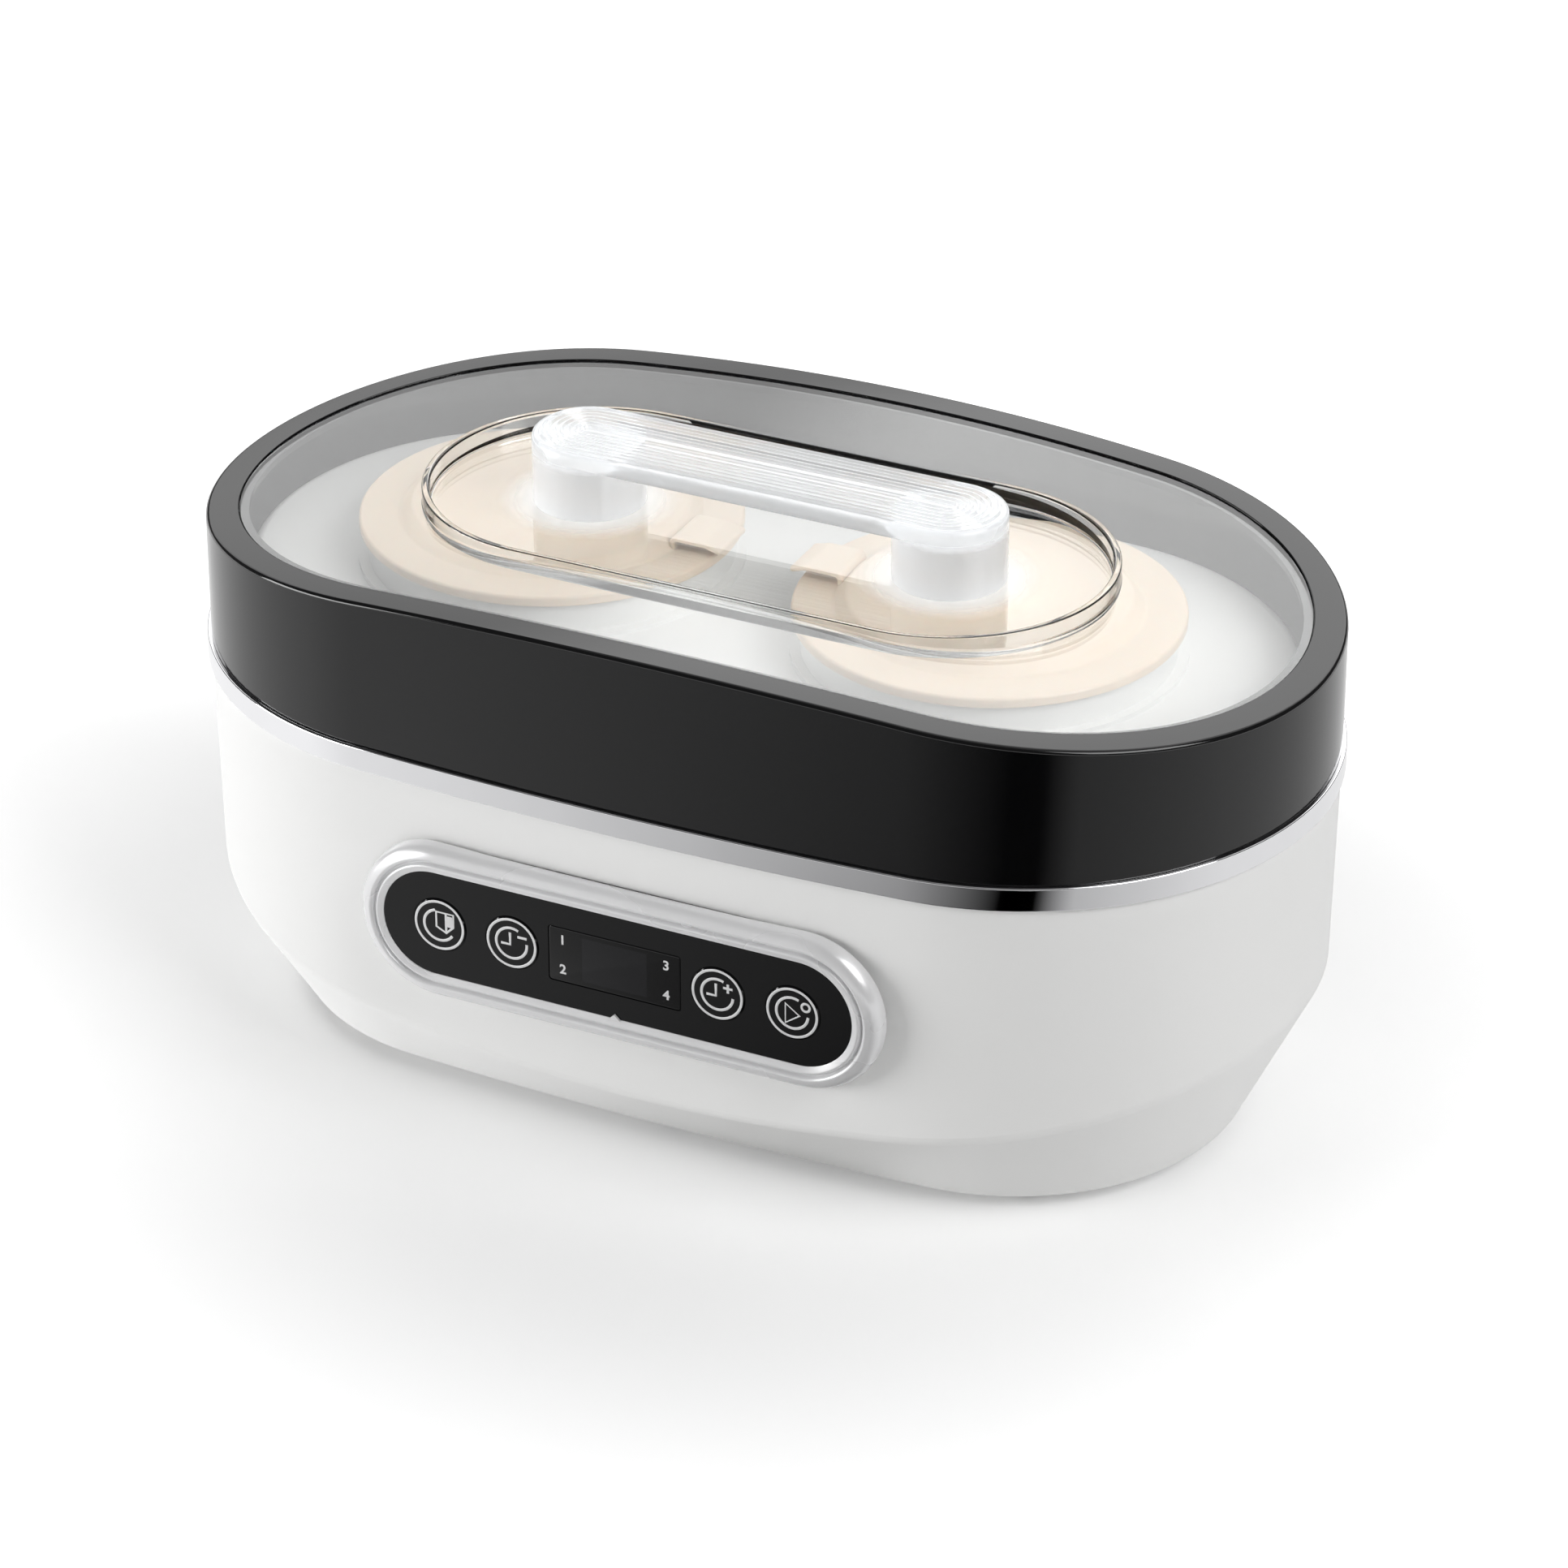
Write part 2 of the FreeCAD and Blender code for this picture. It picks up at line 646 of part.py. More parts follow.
def make_well(x):
    """A heating well: a cup that hangs in the deck by its flange, with the heater's opening in its floor."""
    flange_top = DECK_Z + WELL_FLANGE_THICK
    top = well_radius(SEAT_Z)
    at_deck = well_radius(DECK_Z) + WELL_WALL
    cup = turned([
        (0, WELL_UNDER_Z),
        (well_radius(WELL_UNDER_Z) + WELL_WALL, WELL_UNDER_Z),
        (at_deck, DECK_Z),
        (at_deck + WELL_FLANGE, DECK_Z),
        (at_deck + WELL_FLANGE, flange_top),
        (well_radius(flange_top) + WELL_WALL, flange_top),
        (top + WELL_WALL, SEAT_Z),
        (top, SEAT_Z),
        (well_radius(WELL_FLOOR_Z), WELL_FLOOR_Z),
        (0, WELL_FLOOR_Z),
    ], x, 0)
    holes = [rod(HEATER_STEP_RADIUS + FIT, WELL_FLOOR, V(x, 0, WELL_UNDER_Z), UP)]
    for spot_x, spot_y in heater_screw_spots(x):
        deep = WELL_FLOOR - FIT
        holes.append(rod(SCREW_SHANK + SCREW_FIT, deep, V(spot_x, spot_y, WELL_UNDER_Z), UP))
    return cup.cut(group(holes))


def heater_screw_spots(x):
    spots = []
    for step in range(HEATER_SCREWS):
        angle = math.radians(90 + step * 360 / HEATER_SCREWS)
        spots.append((x + HEATER_SCREW_RADIUS * math.cos(angle), HEATER_SCREW_RADIUS * math.sin(angle)))
    return spots


def make_heater_plate(x):
    """An aluminium plate that closes the well's floor from below and lies flush inside it."""
    low = WELL_UNDER_Z - HEATER_PLATE_THICK
    plate = turned([
        (0, low), (HEATER_PLATE_RADIUS, low), (HEATER_PLATE_RADIUS, WELL_UNDER_Z),
        (HEATER_STEP_RADIUS, WELL_UNDER_Z), (HEATER_STEP_RADIUS, WELL_FLOOR_Z), (0, WELL_FLOOR_Z),
    ], x, 0)
    holes = []
    for spot_x, spot_y in heater_screw_spots(x):
        holes.append(rod(SCREW_SHANK + SCREW_FIT, HEATER_PLATE_THICK, V(spot_x, spot_y, low), UP))
    return plate.cut(group(holes))


def make_heater_screws():
    low = WELL_UNDER_Z - HEATER_PLATE_THICK
    deep = HEATER_PLATE_THICK + WELL_FLOOR - 4 * FIT
    spots = heater_screw_spots(-BOWL_X) + heater_screw_spots(BOWL_X)
    return group([screw(V(x, y, low), UP, deep) for x, y in spots])


def make_heater_mat(x):
    """A ring-shaped silicone heating mat, bonded under the plate."""
    low = WELL_UNDER_Z - HEATER_PLATE_THICK - HEATER_MAT_THICK
    ring = rod(HEATER_MAT_RADIUS, HEATER_MAT_THICK, V(x, 0, low), UP)
    return ring.cut(rod(HEATER_MAT_HOLE, HEATER_MAT_THICK, V(x, 0, low), UP))


def make_temperature_sensor(x):
    """A thermistor in a small can, in the mat's hole, with its clip flange against the plate."""
    top = WELL_UNDER_Z - HEATER_PLATE_THICK
    flange = rod(SENSOR_RADIUS, SENSOR_HEIGHT / 5, V(x, 0, top - SENSOR_HEIGHT / 5), UP)
    can = rod(SENSOR_RADIUS / 2, SENSOR_HEIGHT, V(x, 0, top - SENSOR_HEIGHT), UP)
    return fuse_all([flange, can])


def make_thermal_fuse(x):
    """A thermal cut-off, lying against the heating mat beside the sensor."""
    z = WELL_UNDER_Z - HEATER_PLATE_THICK - HEATER_MAT_THICK - THERMAL_FUSE_RADIUS
    y = HEATER_MAT_HOLE + 3 * THERMAL_FUSE_RADIUS
    foot = V(x - THERMAL_FUSE_LENGTH / 2, y, z)
    return rod(THERMAL_FUSE_RADIUS, THERMAL_FUSE_LENGTH, foot, V(1, 0, 0))


def rounded_path(points, bend):
    """Straight runs joined by tangent arcs of the given radius."""
    edges = []
    start = points[0]
    for before, corner, after in zip(points, points[1:], points[2:]):
        into = (corner - before).normalize()
        out = (after - corner).normalize()
        half = into.getAngle(out) / 2
        reach = bend * math.tan(half)
        first = corner - into * reach
        last = corner + out * reach
        inward = (out - into).normalize()
        middle = corner + inward * (bend / math.cos(half) - bend)
        edges.append(line(start, first))
        edges.append(arc(first, middle, last))
        start = last
    edges.append(line(start, points[-1]))
    return Part.Wire(edges)


def make_heater_lead(side):
    """The insulated lead from a heating mat down to the power board."""
    top = WELL_UNDER_Z - HEATER_PLATE_THICK - HEATER_MAT_THICK
    middle = (top + POWER_TOP_Z) / 2
    mat_x = side * (BOWL_X - LEAD_MAT_INWARD)
    board_x = mat_x - side * LEAD_SHIFT
    points = [
        V(mat_x, LEAD_Y, top),
        V(mat_x, LEAD_Y, middle),
        V(board_x, LEAD_Y, middle),
        V(board_x, LEAD_Y, POWER_TOP_Z),
    ]
    section = Part.Wire(Part.makeCircle(LEAD_RADIUS, points[0], UP))
    return rounded_path(points, LEAD_BEND).makePipeShell([section], True, False)


def power_post_spots():
    x = POWER_LENGTH / 2 - POWER_POST_EDGE
    y = POWER_WIDTH / 2 - POWER_POST_EDGE
    return [(sx * x, sy * y) for sx in (-1, 1) for sy in (-1, 1)]


def make_power_board():
    board = centred_block((POWER_LENGTH, POWER_WIDTH, BOARD_THICK), 0, 0, POWER_Z)
    holes = [rod(SCREW_SHANK + SCREW_FIT, BOARD_THICK, V(x, y, POWER_Z), UP) for x, y in power_post_spots()]
    return board.cut(group(holes))


def make_power_board_screws():
    return group([screw(V(x, y, POWER_TOP_Z), V(0, 0, -1), BOARD_SCREW_DEEP) for x, y in power_post_spots()])


def make_transformer():
    """A laminated core with its winding through it."""
    length, width, high = TRANSFORMER_SIZE
    core = centred_block((TRANSFORMER_CORE, width, high), 0, 0, POWER_TOP_Z)
    coil = centred_block((length, width * 0.7, high * 0.8), 0, 0, POWER_TOP_Z)
    return fuse_all([core, coil])


def make_relay():
    return centred_block(RELAY_SIZE, -RELAY_X, -RELAY_Y, POWER_TOP_Z)


def make_terminal_block():
    """A screw terminal block with a wire entry for each pole."""
    body = centred_block(TERMINAL_SIZE, -TERMINAL_X, TERMINAL_Y, POWER_TOP_Z)
    entries = []
    for step in (-1, 0, 1):
        x = -TERMINAL_X + step * TERMINAL_SIZE[0] / 3
        entry = V(x, TERMINAL_Y, POWER_TOP_Z + TERMINAL_SIZE[2] / 3)
        entries.append(rod(LEAD_RADIUS, TERMINAL_SIZE[1], entry, ACROSS))
    return body.cut(group(entries))


def make_filter_capacitor():
    return rod(CAPACITOR_RADIUS, CAPACITOR_HEIGHT, V(RELAY_X, -RELAY_Y, POWER_TOP_Z), UP)


def make_mains_fuse():
    """A glass fuse lying in two clips that stand on the board."""
    low = V(TERMINAL_X - FUSE_LENGTH / 2, TERMINAL_Y, POWER_TOP_Z + 2 * FUSE_RADIUS)
    parts = [rod(FUSE_RADIUS, FUSE_LENGTH, low, V(1, 0, 0))]
    for x in (low.x, low.x + FUSE_LENGTH - FUSE_CLIP_THICK):
        size = (FUSE_CLIP_THICK, 2 * FUSE_RADIUS, 2 * FUSE_RADIUS)
        parts.append(block(size, V(x, TERMINAL_Y - FUSE_RADIUS, POWER_TOP_Z)))
    return fuse_all(parts)


def make_ribbon_cable():
    """The flat cable from the control board's back, over the floor, to the power board."""
    start_z = PANEL_Z - PANEL_HALF_HEIGHT / 2
    run_z = POWER_TOP_Z + RIBBON_BEND + RIBBON_THICK
    points = [
        V(0, BOARD_BACK_Y, start_z),
        V(0, RIBBON_DROP_Y, start_z),
        V(0, RIBBON_DROP_Y, run_z),
        V(0, RIBBON_END_Y, run_z),
        V(0, RIBBON_END_Y, POWER_TOP_Z),
    ]
    half = RIBBON_WIDTH / 2
    low = start_z - RIBBON_THICK / 2
    high = start_z + RIBBON_THICK / 2
    corners = [V(-half, BOARD_BACK_Y, low), V(half, BOARD_BACK_Y, low)]
    corners += [V(half, BOARD_BACK_Y, high), V(-half, BOARD_BACK_Y, high)]
    section = Part.makePolygon(corners + corners[:1])
    return rounded_path(points, RIBBON_BEND).makePipeShell([section], True, False)


def make_panel_bezel():
    """The silver frame: a round bead on the wall, a sleeve through it and a lip over the fascia."""
    low = PANEL_Z - PANEL_HALF_HEIGHT - BEZEL_BAND - GAP
    bead = panel_slab(BEZEL_BAND, PANEL_FACE_Y, BOARD_Y)
    rim = [e for e in bead.Edges if abs(e.BoundBox.YMax - PANEL_FACE_Y) < FIT]
    bead = bead.makeFillet(BEZEL_ROUND, rim)
    bead = bead.cut(wall_block(PANEL_GAP, low, HOUSING_TOP_Z))
    sleeve = panel_slab(FASCIA_LIP + GAP + BEZEL_SLEEVE, FASCIA_Y, FASCIA_Y + BEZEL_SLEEVE_DEEP)
    frame = fuse_all([bead, sleeve])
    cuts = [
        panel_slab(0, PANEL_FACE_Y, FASCIA_Y),
        panel_slab(FASCIA_LIP + FIT, FASCIA_Y, BOARD_Y),
    ]
    for x, z in panel_screw_spots():
        deep = PANEL_SCREW_GRIP + FIT
        foot = V(x, front_wall_y(x, z, 0) - deep, z)
        cuts.append(rod(SCREW_SHANK + SCREW_FIT, deep, foot, ACROSS))
    frame = frame.cut(group(cuts))
    edge = PANEL_Z - PANEL_HALF_HEIGHT
    corners = [(-BEZEL_NIB, edge - FIT), (BEZEL_NIB, edge - FIT), (0, edge + BEZEL_NIB)]
    nib = polygon_face([V(x, PANEL_FACE_Y, z) for x, z in corners])
    return fuse_all([frame, nib.extrude(V(0, FASCIA_RECESS, 0))])


def make_panel_screws():
    """Screws from inside the wall into the bezel's bead."""
    screws = []
    for x, z in panel_screw_spots():
        seat = V(x, front_wall_y(x, z, WALL) + GAP, z)
        screws.append(screw(seat, V(0, -1, 0), WALL + GAP + PANEL_SCREW_GRIP))
    return group(screws)


def window_slab(grow, front, back):
    """A slab as large as the display window grown by grow, with round corners."""
    half_length = WINDOW_HALF_LENGTH + grow
    half_height = WINDOW_HALF_HEIGHT + grow
    size = (2 * half_length, back - front, 2 * half_height)
    slab = block(size, V(-half_length, front, PANEL_Z - half_height))
    corners = [e for e in slab.Edges if abs(e.Vertexes[0].Y - e.Vertexes[1].Y) > FIT]
    return slab.makeFillet(WINDOW_CORNER, corners)


def board_post_spots():
    return [(sx * POST_X, PANEL_Z + sz * POST_Z) for sx in (-1, 1) for sz in (-1, 1)]


def make_panel_fascia():
    """The gloss black plate, with holes for the buttons and window, and posts for the board."""
    plate = panel_slab(FASCIA_LIP, FASCIA_Y, FASCIA_BACK_Y)
    posts = [rod(POST_RADIUS, BOARD_BEHIND, V(x, FASCIA_BACK_Y, z), ACROSS) for x, z in board_post_spots()]
    plate = fuse_all([plate] + posts)
    cuts = [window_slab(FIT, FASCIA_Y, FASCIA_BACK_Y)]
    for x in BUTTONS.values():
        cuts.append(rod(BUTTON_RADIUS + BUTTON_CLEAR, FASCIA_THICK, V(x, FASCIA_Y, PANEL_Z), ACROSS))
    for x, z in board_post_spots():
        deep = BOARD_SCREW_DEEP
        cuts.append(rod(SCREW_SHANK + SCREW_FIT, deep, V(x, BOARD_Y - deep, z), ACROSS))
    return plate.cut(group(cuts))


def make_display_window():
    return window_slab(0, FASCIA_Y, FASCIA_BACK_Y)


def make_display_module():
    """The display, standing on the control board behind the window."""
    front = FASCIA_BACK_Y + GAP
    size = (2 * DISPLAY_HALF_LENGTH, BOARD_Y - front, 2 * DISPLAY_HALF_HEIGHT)
    return block(size, V(-DISPLAY_HALF_LENGTH, front, PANEL_Z - DISPLAY_HALF_HEIGHT))


def make_control_board():
    board = panel_slab(-BOARD_EDGE, BOARD_Y, BOARD_BACK_Y)
    holes = []
    for x, z in board_post_spots():
        holes.append(rod(SCREW_SHANK + SCREW_FIT, BOARD_THICK, V(x, BOARD_Y, z), ACROSS))
    return board.cut(group(holes))


def make_control_board_screws():
    toward_front = V(0, -1, 0)
    deep = BOARD_THICK + BOARD_SCREW_DEEP - GAP
    return group([screw(V(x, BOARD_BACK_Y, z), toward_front, deep) for x, z in board_post_spots()])


def make_tact_switches():
    """One small switch behind each button."""
    switches = []
    for x in BUTTONS.values():
        front = BOARD_Y - SWITCH_HEIGHT
        size = (SWITCH_SIDE, SWITCH_HEIGHT, SWITCH_SIDE)
        body = block(size, V(x - SWITCH_SIDE / 2, front, PANEL_Z - SWITCH_SIDE / 2))
        tip = V(x, front - SWITCH_PLUNGER_HIGH, PANEL_Z)
        plunger = rod(SWITCH_PLUNGER_RADIUS, SWITCH_PLUNGER_HIGH, tip, ACROSS)
        switches.append(fuse_all([body, plunger]))
    return group(switches)


def make_program_leds():
    """The lamps behind the program numbers."""
    spots = [(sx * LED_X, PANEL_Z + sz * LED_Z) for sx in (-1, 1) for sz in (-1, 1)]
    return group([rod(LED_RADIUS, LED_HEIGHT, V(x, BOARD_Y - LED_HEIGHT, z), ACROSS) for x, z in spots])


def make_button(x):
    """A push button: its flange keeps it behind the fascia and its stem faces the switch."""
    front = FASCIA_Y - BUTTON_PROUD
    flange = FASCIA_BACK_Y + FIT
    back = flange + BUTTON_FLANGE_THICK
    stem_end = BOARD_Y - SWITCH_HEIGHT - SWITCH_PLUNGER_HIGH - BUTTON_STROKE - FIT
    points = [
        (0, front),
        (BUTTON_RADIUS - BUTTON_EDGE, front),
        (BUTTON_RADIUS, front + BUTTON_EDGE),
        (BUTTON_RADIUS, flange),
        (BUTTON_RADIUS + BUTTON_FLANGE, flange),
        (BUTTON_RADIUS + BUTTON_FLANGE, back),
        (BUTTON_STEM_RADIUS, back),
        (BUTTON_STEM_RADIUS, stem_end),
        (0, stem_end),
    ]
    button = polygon_face([V(radius, y, 0) for radius, y in points]).revolve(V(0, 0, 0), ACROSS, 360)
    button.translate(V(x, 0, PANEL_Z))
    return button


def make_cord_gland():
    """A rubber bush through the rear wall, with a bore for the mains lead."""
    inner_face = gland_wall_y(WALL)
    start = inner_face - GLAND_TAIL
    end = -PANEL_FACE_Y
    outer_face = gland_wall_y(0)
    collar_deep = GLAND_FLANGE_THICK + GLAND_FLANGE / 8
    collar = rod(GLAND_FLANGE, collar_deep, V(0, outer_face - FIT, GLAND_Z), ACROSS)
    low = GLAND_Z - 2 * GLAND_FLANGE
    collar = collar.cut(wall_block(FIT, low, HOUSING_TOP_Z))
    sleeve = rod(GLAND_SLEEVE, end - start, V(0, start, GLAND_Z), ACROSS)
    keeper = rod(GLAND_FLANGE, GLAND_FLANGE_THICK, V(0, start, GLAND_Z), ACROSS)
    bush = fuse_all([collar, sleeve, keeper])
    return bush.cut(rod(GLAND_BORE, end - start, V(0, start, GLAND_Z), ACROSS))


def bowl_inside(z):
    """Inner radius of a bowl at height z."""
    return well_radius(z) - WELL_CLEAR - BOWL_WALL


def make_bowl(x):
    """A tapered bowl that hangs in its well by its flange."""
    flange_low = BOWL_RIM_Z - BOWL_FLANGE_THICK
    return turned([
        (0, BOWL_BASE_Z),
        (bowl_inside(BOWL_BASE_Z) + BOWL_WALL, BOWL_BASE_Z),
        (bowl_inside(flange_low) + BOWL_WALL, flange_low),
        (BOWL_FLANGE_RADIUS, flange_low),
        (BOWL_FLANGE_RADIUS, BOWL_RIM_Z),
        (bowl_inside(BOWL_RIM_Z), BOWL_RIM_Z),
        (bowl_inside(BOWL_BASE_Z + BOWL_WALL), BOWL_BASE_Z + BOWL_WALL),
        (0, BOWL_BASE_Z + BOWL_WALL),
    ], x, 0)


def seal_spot():
    """Ring radius and height of a cap's seal: just clear of the bowl's wall."""
    z = BOWL_RIM_Z - SEAL_Z_DROP
    return bowl_inside(z) - GAP - SEAL_SECTION, z


def make_cap_seal(x):
    radius, z = seal_spot()
    return Part.makeTorus(radius, SEAL_SECTION, V(x, 0, z), UP)


def make_cap(side):
    """A bowl's cap: rim, raised middle, plug with a seal groove, and a finger tab towards the other."""
    x = side * BOWL_X
    seal_radius, seal_z = seal_spot()
    plug_out = seal_radius
    plug_in = plug_out - CAP_PLUG_WALL
    plug_low = BOWL_RIM_Z - CAP_PLUG_DEEP
    middle_z = CAP_TOP_Z + CAP_PLATEAU_RISE
    skirt_in = BOWL_FLANGE_RADIUS + GAP
    skirt_low = SEAT_Z + GAP
    body = turned([
        (0, middle_z),
        (CAP_PLATEAU_RADIUS, middle_z),
        (CAP_PLATEAU_RADIUS + CAP_SLOPE, CAP_TOP_Z),
        (CAP_RADIUS, CAP_TOP_Z),
        (CAP_RADIUS, skirt_low),
        (skirt_in, skirt_low),
        (skirt_in, BOWL_RIM_Z),
        (plug_out, BOWL_RIM_Z),
        (plug_out, plug_low),
        (plug_in, plug_low),
        (plug_in, BOWL_RIM_Z),
        (CAP_PLATEAU_RADIUS, BOWL_RIM_Z),
        (CAP_PLATEAU_RADIUS - CAP_SLOPE, middle_z - CAP_THICK),
        (0, middle_z - CAP_THICK),
    ], x, 0)
    body = body.cut(Part.makeTorus(seal_radius, SEAL_SECTION + FIT, V(x, 0, seal_z), UP))
    tip = CAP_RADIUS + TAB_OVERHANG
    root = tip - TAB_LENGTH
    top = CAP_TOP_Z + TAB_RISE
    outline = [
        (root, CAP_TOP_Z - FIT), (root, top), (tip, top), (tip, top - TAB_THICK),
        (root + TAB_THICK, top - TAB_THICK), (root + TAB_THICK, CAP_TOP_Z - FIT),
    ]
    tab = polygon_face([V(x - side * reach, -TAB_WIDTH / 2, z) for reach, z in outline])
    return fuse_all([body, tab.extrude(V(0, TAB_WIDTH, 0))])


def make_lid_ring():
    """The gloss black band: an upright wall, an arched flat top and a ledge under the window."""
    low = RING_FOOT_Z
    high = LID_CROWN_Z + RING_WALL
    foot_drop = LID_CROWN_Z - RING_FOOT_Z + RING_WALL
    whole = oval_prism(0, low, high)
    wall = whole.cut(oval_prism(-RING_WALL, low, high)).common(arch_slab(0, foot_drop))
    top = whole.cut(oval_prism(-RING_TOP_WIDTH, low, high)).common(arch_slab(0, RING_TOP_THICK))
    ledge = whole.cut(oval_prism(-RING_TOP_WIDTH - RING_LEDGE, low, high))
    ledge = ledge.common(arch_slab(RING_TOP_THICK, RING_TOP_THICK + RING_LEDGE_THICK))
    ring = fuse_all([wall, top, ledge])
    rim = [e for e in ring.Edges if on_top_rim(e)]
    return ring.makeFillet(RING_EDGE, rim)


def on_top_rim(edge):
    """True for an edge where the ring's outer wall meets its arched top."""
    point = edge.valueAt((edge.FirstParameter + edge.LastParameter) / 2)
    arch_z = LID_CROWN_Z - ARCH_RADIUS + math.sqrt(ARCH_RADIUS ** 2 - point.x ** 2)
    outline = oval_face(0, point.z).OuterWire
    return abs(point.z - arch_z) < FIT and outline.distToShape(Part.Vertex(point))[0] < FIT


def make_lid_window():
    """The clear arched window with its sunk tray, whose rim is flat."""
    low = RING_FOOT_Z
    high = LID_CROWN_Z + RING_WALL
    sheet = oval_prism(-RING_TOP_WIDTH - GAP, low, high)
    sheet = sheet.common(arch_slab(WINDOW_SINK, WINDOW_SINK + WINDOW_THICK))
    floor_low = RECESS_FLOOR_Z - RECESS_WALL
    tray = flat_stadium(RECESS_CENTER_X, RECESS_RADIUS, floor_low, LID_CROWN_Z)
    rim = [e for e in tray.Edges if abs(e.BoundBox.ZMin - LID_CROWN_Z) < FIT]
    tray = tray.makeFillet(RECESS_EDGE, rim)
    hollow = flat_stadium(RECESS_CENTER_X, RECESS_RADIUS - RECESS_WALL, RECESS_FLOOR_Z, high)
    return fuse_all([sheet, tray]).cut(hollow)


def make_lid_handle():
    """The clear grip: a ribbed bar on two hollow round posts that stand in the tray."""
    bar_top = HANDLE_TOP_Z - HANDLE_RIB_HIGH
    bar_low = bar_top - HANDLE_THICK
    bar = flat_stadium(HANDLE_CENTER_X, HANDLE_RADIUS, bar_low, bar_top)
    rim = [e for e in bar.Edges if abs(e.BoundBox.ZMin - bar_top) < FIT]
    bar = bar.makeFillet(HANDLE_EDGE, rim)
    pieces = [bar]
    for step in range(HANDLE_RIBS):
        outer = HANDLE_RADIUS - HANDLE_EDGE - step * HANDLE_RIB_PITCH
        rib = flat_stadium(HANDLE_CENTER_X, outer, bar_top, HANDLE_TOP_Z)
        inner = flat_stadium(HANDLE_CENTER_X, outer - HANDLE_RIB_WIDTH, bar_top, HANDLE_TOP_Z)
        pieces.append(rib.cut(inner))
    for x in (-HANDLE_CENTER_X, HANDLE_CENTER_X):
        foot = V(x, 0, RECESS_FLOOR_Z)
        high = bar_low - RECESS_FLOOR_Z
        post = rod(HANDLE_POST_RADIUS, high, foot, UP)
        pieces.append(post.cut(rod(HANDLE_POST_RADIUS - HANDLE_POST_WALL, high, foot, UP)))
    return fuse_all(pieces)


def make_all():
    """Every piece by its node name."""
    nodes = {
        "outer_housing": make_outer_housing(),
        "bottom_cover": make_bottom_cover(),
        "cover_screws": make_cover_screws(),
        "chrome_trim_ring": make_chrome_trim_ring(),
        "inner_liner": make_inner_liner(),
        "heater_screws": make_heater_screws(),
        "power_board": make_power_board(),
        "power_board_screws": make_power_board_screws(),
        "transformer": make_transformer(),
        "relay": make_relay(),
        "terminal_block": make_terminal_block(),
        "filter_capacitor": make_filter_capacitor(),
        "mains_fuse": make_mains_fuse(),
        "ribbon_cable": make_ribbon_cable(),
        "panel_bezel": make_panel_bezel(),
        "panel_screws": make_panel_screws(),
        "panel_fascia": make_panel_fascia(),
        "display_window": make_display_window(),
        "display_module": make_display_module(),
        "control_board": make_control_board(),
        "control_board_screws": make_control_board_screws(),
        "tact_switches": make_tact_switches(),
        "program_leds": make_program_leds(),
        "cord_gland": make_cord_gland(),
        "lid_ring": make_lid_ring(),
        "lid_window": make_lid_window(),
        "lid_handle": make_lid_handle(),
    }
    for name, (x, y) in foot_spots().items():
        nodes[name] = make_foot(x, y)
    for name, x in BUTTONS.items():
        nodes[name] = make_button(x)
    for hand, side in (("left", -1), ("right", 1)):
        x = side * BOWL_X
        nodes["well_" + hand] = make_well(x)
        nodes["heater_plate_" + hand] = make_heater_plate(x)
        nodes["heater_mat_" + hand] = make_heater_mat(x)
        nodes["temperature_sensor_" + hand] = make_temperature_sensor(x)
        nodes["thermal_fuse_" + hand] = make_thermal_fuse(x)
        nodes["heater_lead_" + hand] = make_heater_lead(side)
        nodes["bowl_" + hand] = make_bowl(x)
        nodes["cap_" + hand] = make_cap(side)
        nodes["cap_seal_" + hand] = make_cap_seal(x)
    return nodes


os.makedirs("parts", exist_ok=True)
for name, shape in make_all().items():
    shape.exportStep("parts/" + name + ".step")
    print(name, len(shape.Solids), round(shape.Volume), shape.isValid())
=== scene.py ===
import math

import bpy
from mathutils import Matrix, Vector


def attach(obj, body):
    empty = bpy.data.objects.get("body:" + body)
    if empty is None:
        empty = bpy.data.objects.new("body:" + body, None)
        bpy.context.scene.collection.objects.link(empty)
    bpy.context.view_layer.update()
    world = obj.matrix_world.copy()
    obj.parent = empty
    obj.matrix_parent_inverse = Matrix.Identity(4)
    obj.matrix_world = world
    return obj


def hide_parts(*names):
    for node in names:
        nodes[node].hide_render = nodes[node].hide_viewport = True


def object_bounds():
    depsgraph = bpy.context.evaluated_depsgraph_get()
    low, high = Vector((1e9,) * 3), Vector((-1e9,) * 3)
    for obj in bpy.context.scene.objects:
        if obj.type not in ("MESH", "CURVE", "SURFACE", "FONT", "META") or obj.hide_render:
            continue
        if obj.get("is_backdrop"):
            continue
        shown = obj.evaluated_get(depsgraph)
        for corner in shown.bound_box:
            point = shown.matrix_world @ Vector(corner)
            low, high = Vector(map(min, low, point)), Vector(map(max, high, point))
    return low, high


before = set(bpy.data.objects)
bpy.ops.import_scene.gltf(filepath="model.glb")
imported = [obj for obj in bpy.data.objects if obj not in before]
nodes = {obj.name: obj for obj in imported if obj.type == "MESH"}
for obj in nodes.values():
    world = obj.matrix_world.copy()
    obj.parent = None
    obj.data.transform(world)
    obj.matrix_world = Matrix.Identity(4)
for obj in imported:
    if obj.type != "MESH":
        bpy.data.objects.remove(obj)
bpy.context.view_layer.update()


# Outer housing: the white body shell, injection moulded in ABS with a satin face. Its nearly upright wall
# meets a flared foot in a crease that is low at the front and high at the ends. The control panel fills an
# opening in its front and the mains lead's gland a hole in its back.
# Sizes of pieces are in mm, and MM turns them to metres. Heights less than SAME apart count as one.
MM = 0.001
SAME = 0.01
SLACK = 0.1
POINT_MERGE = 0.001
SMOOTH_ANGLE = 30
HALF_LENGTH = 165.0
HALF_WIDTH = 91.7
END_RADIUS = 89.0
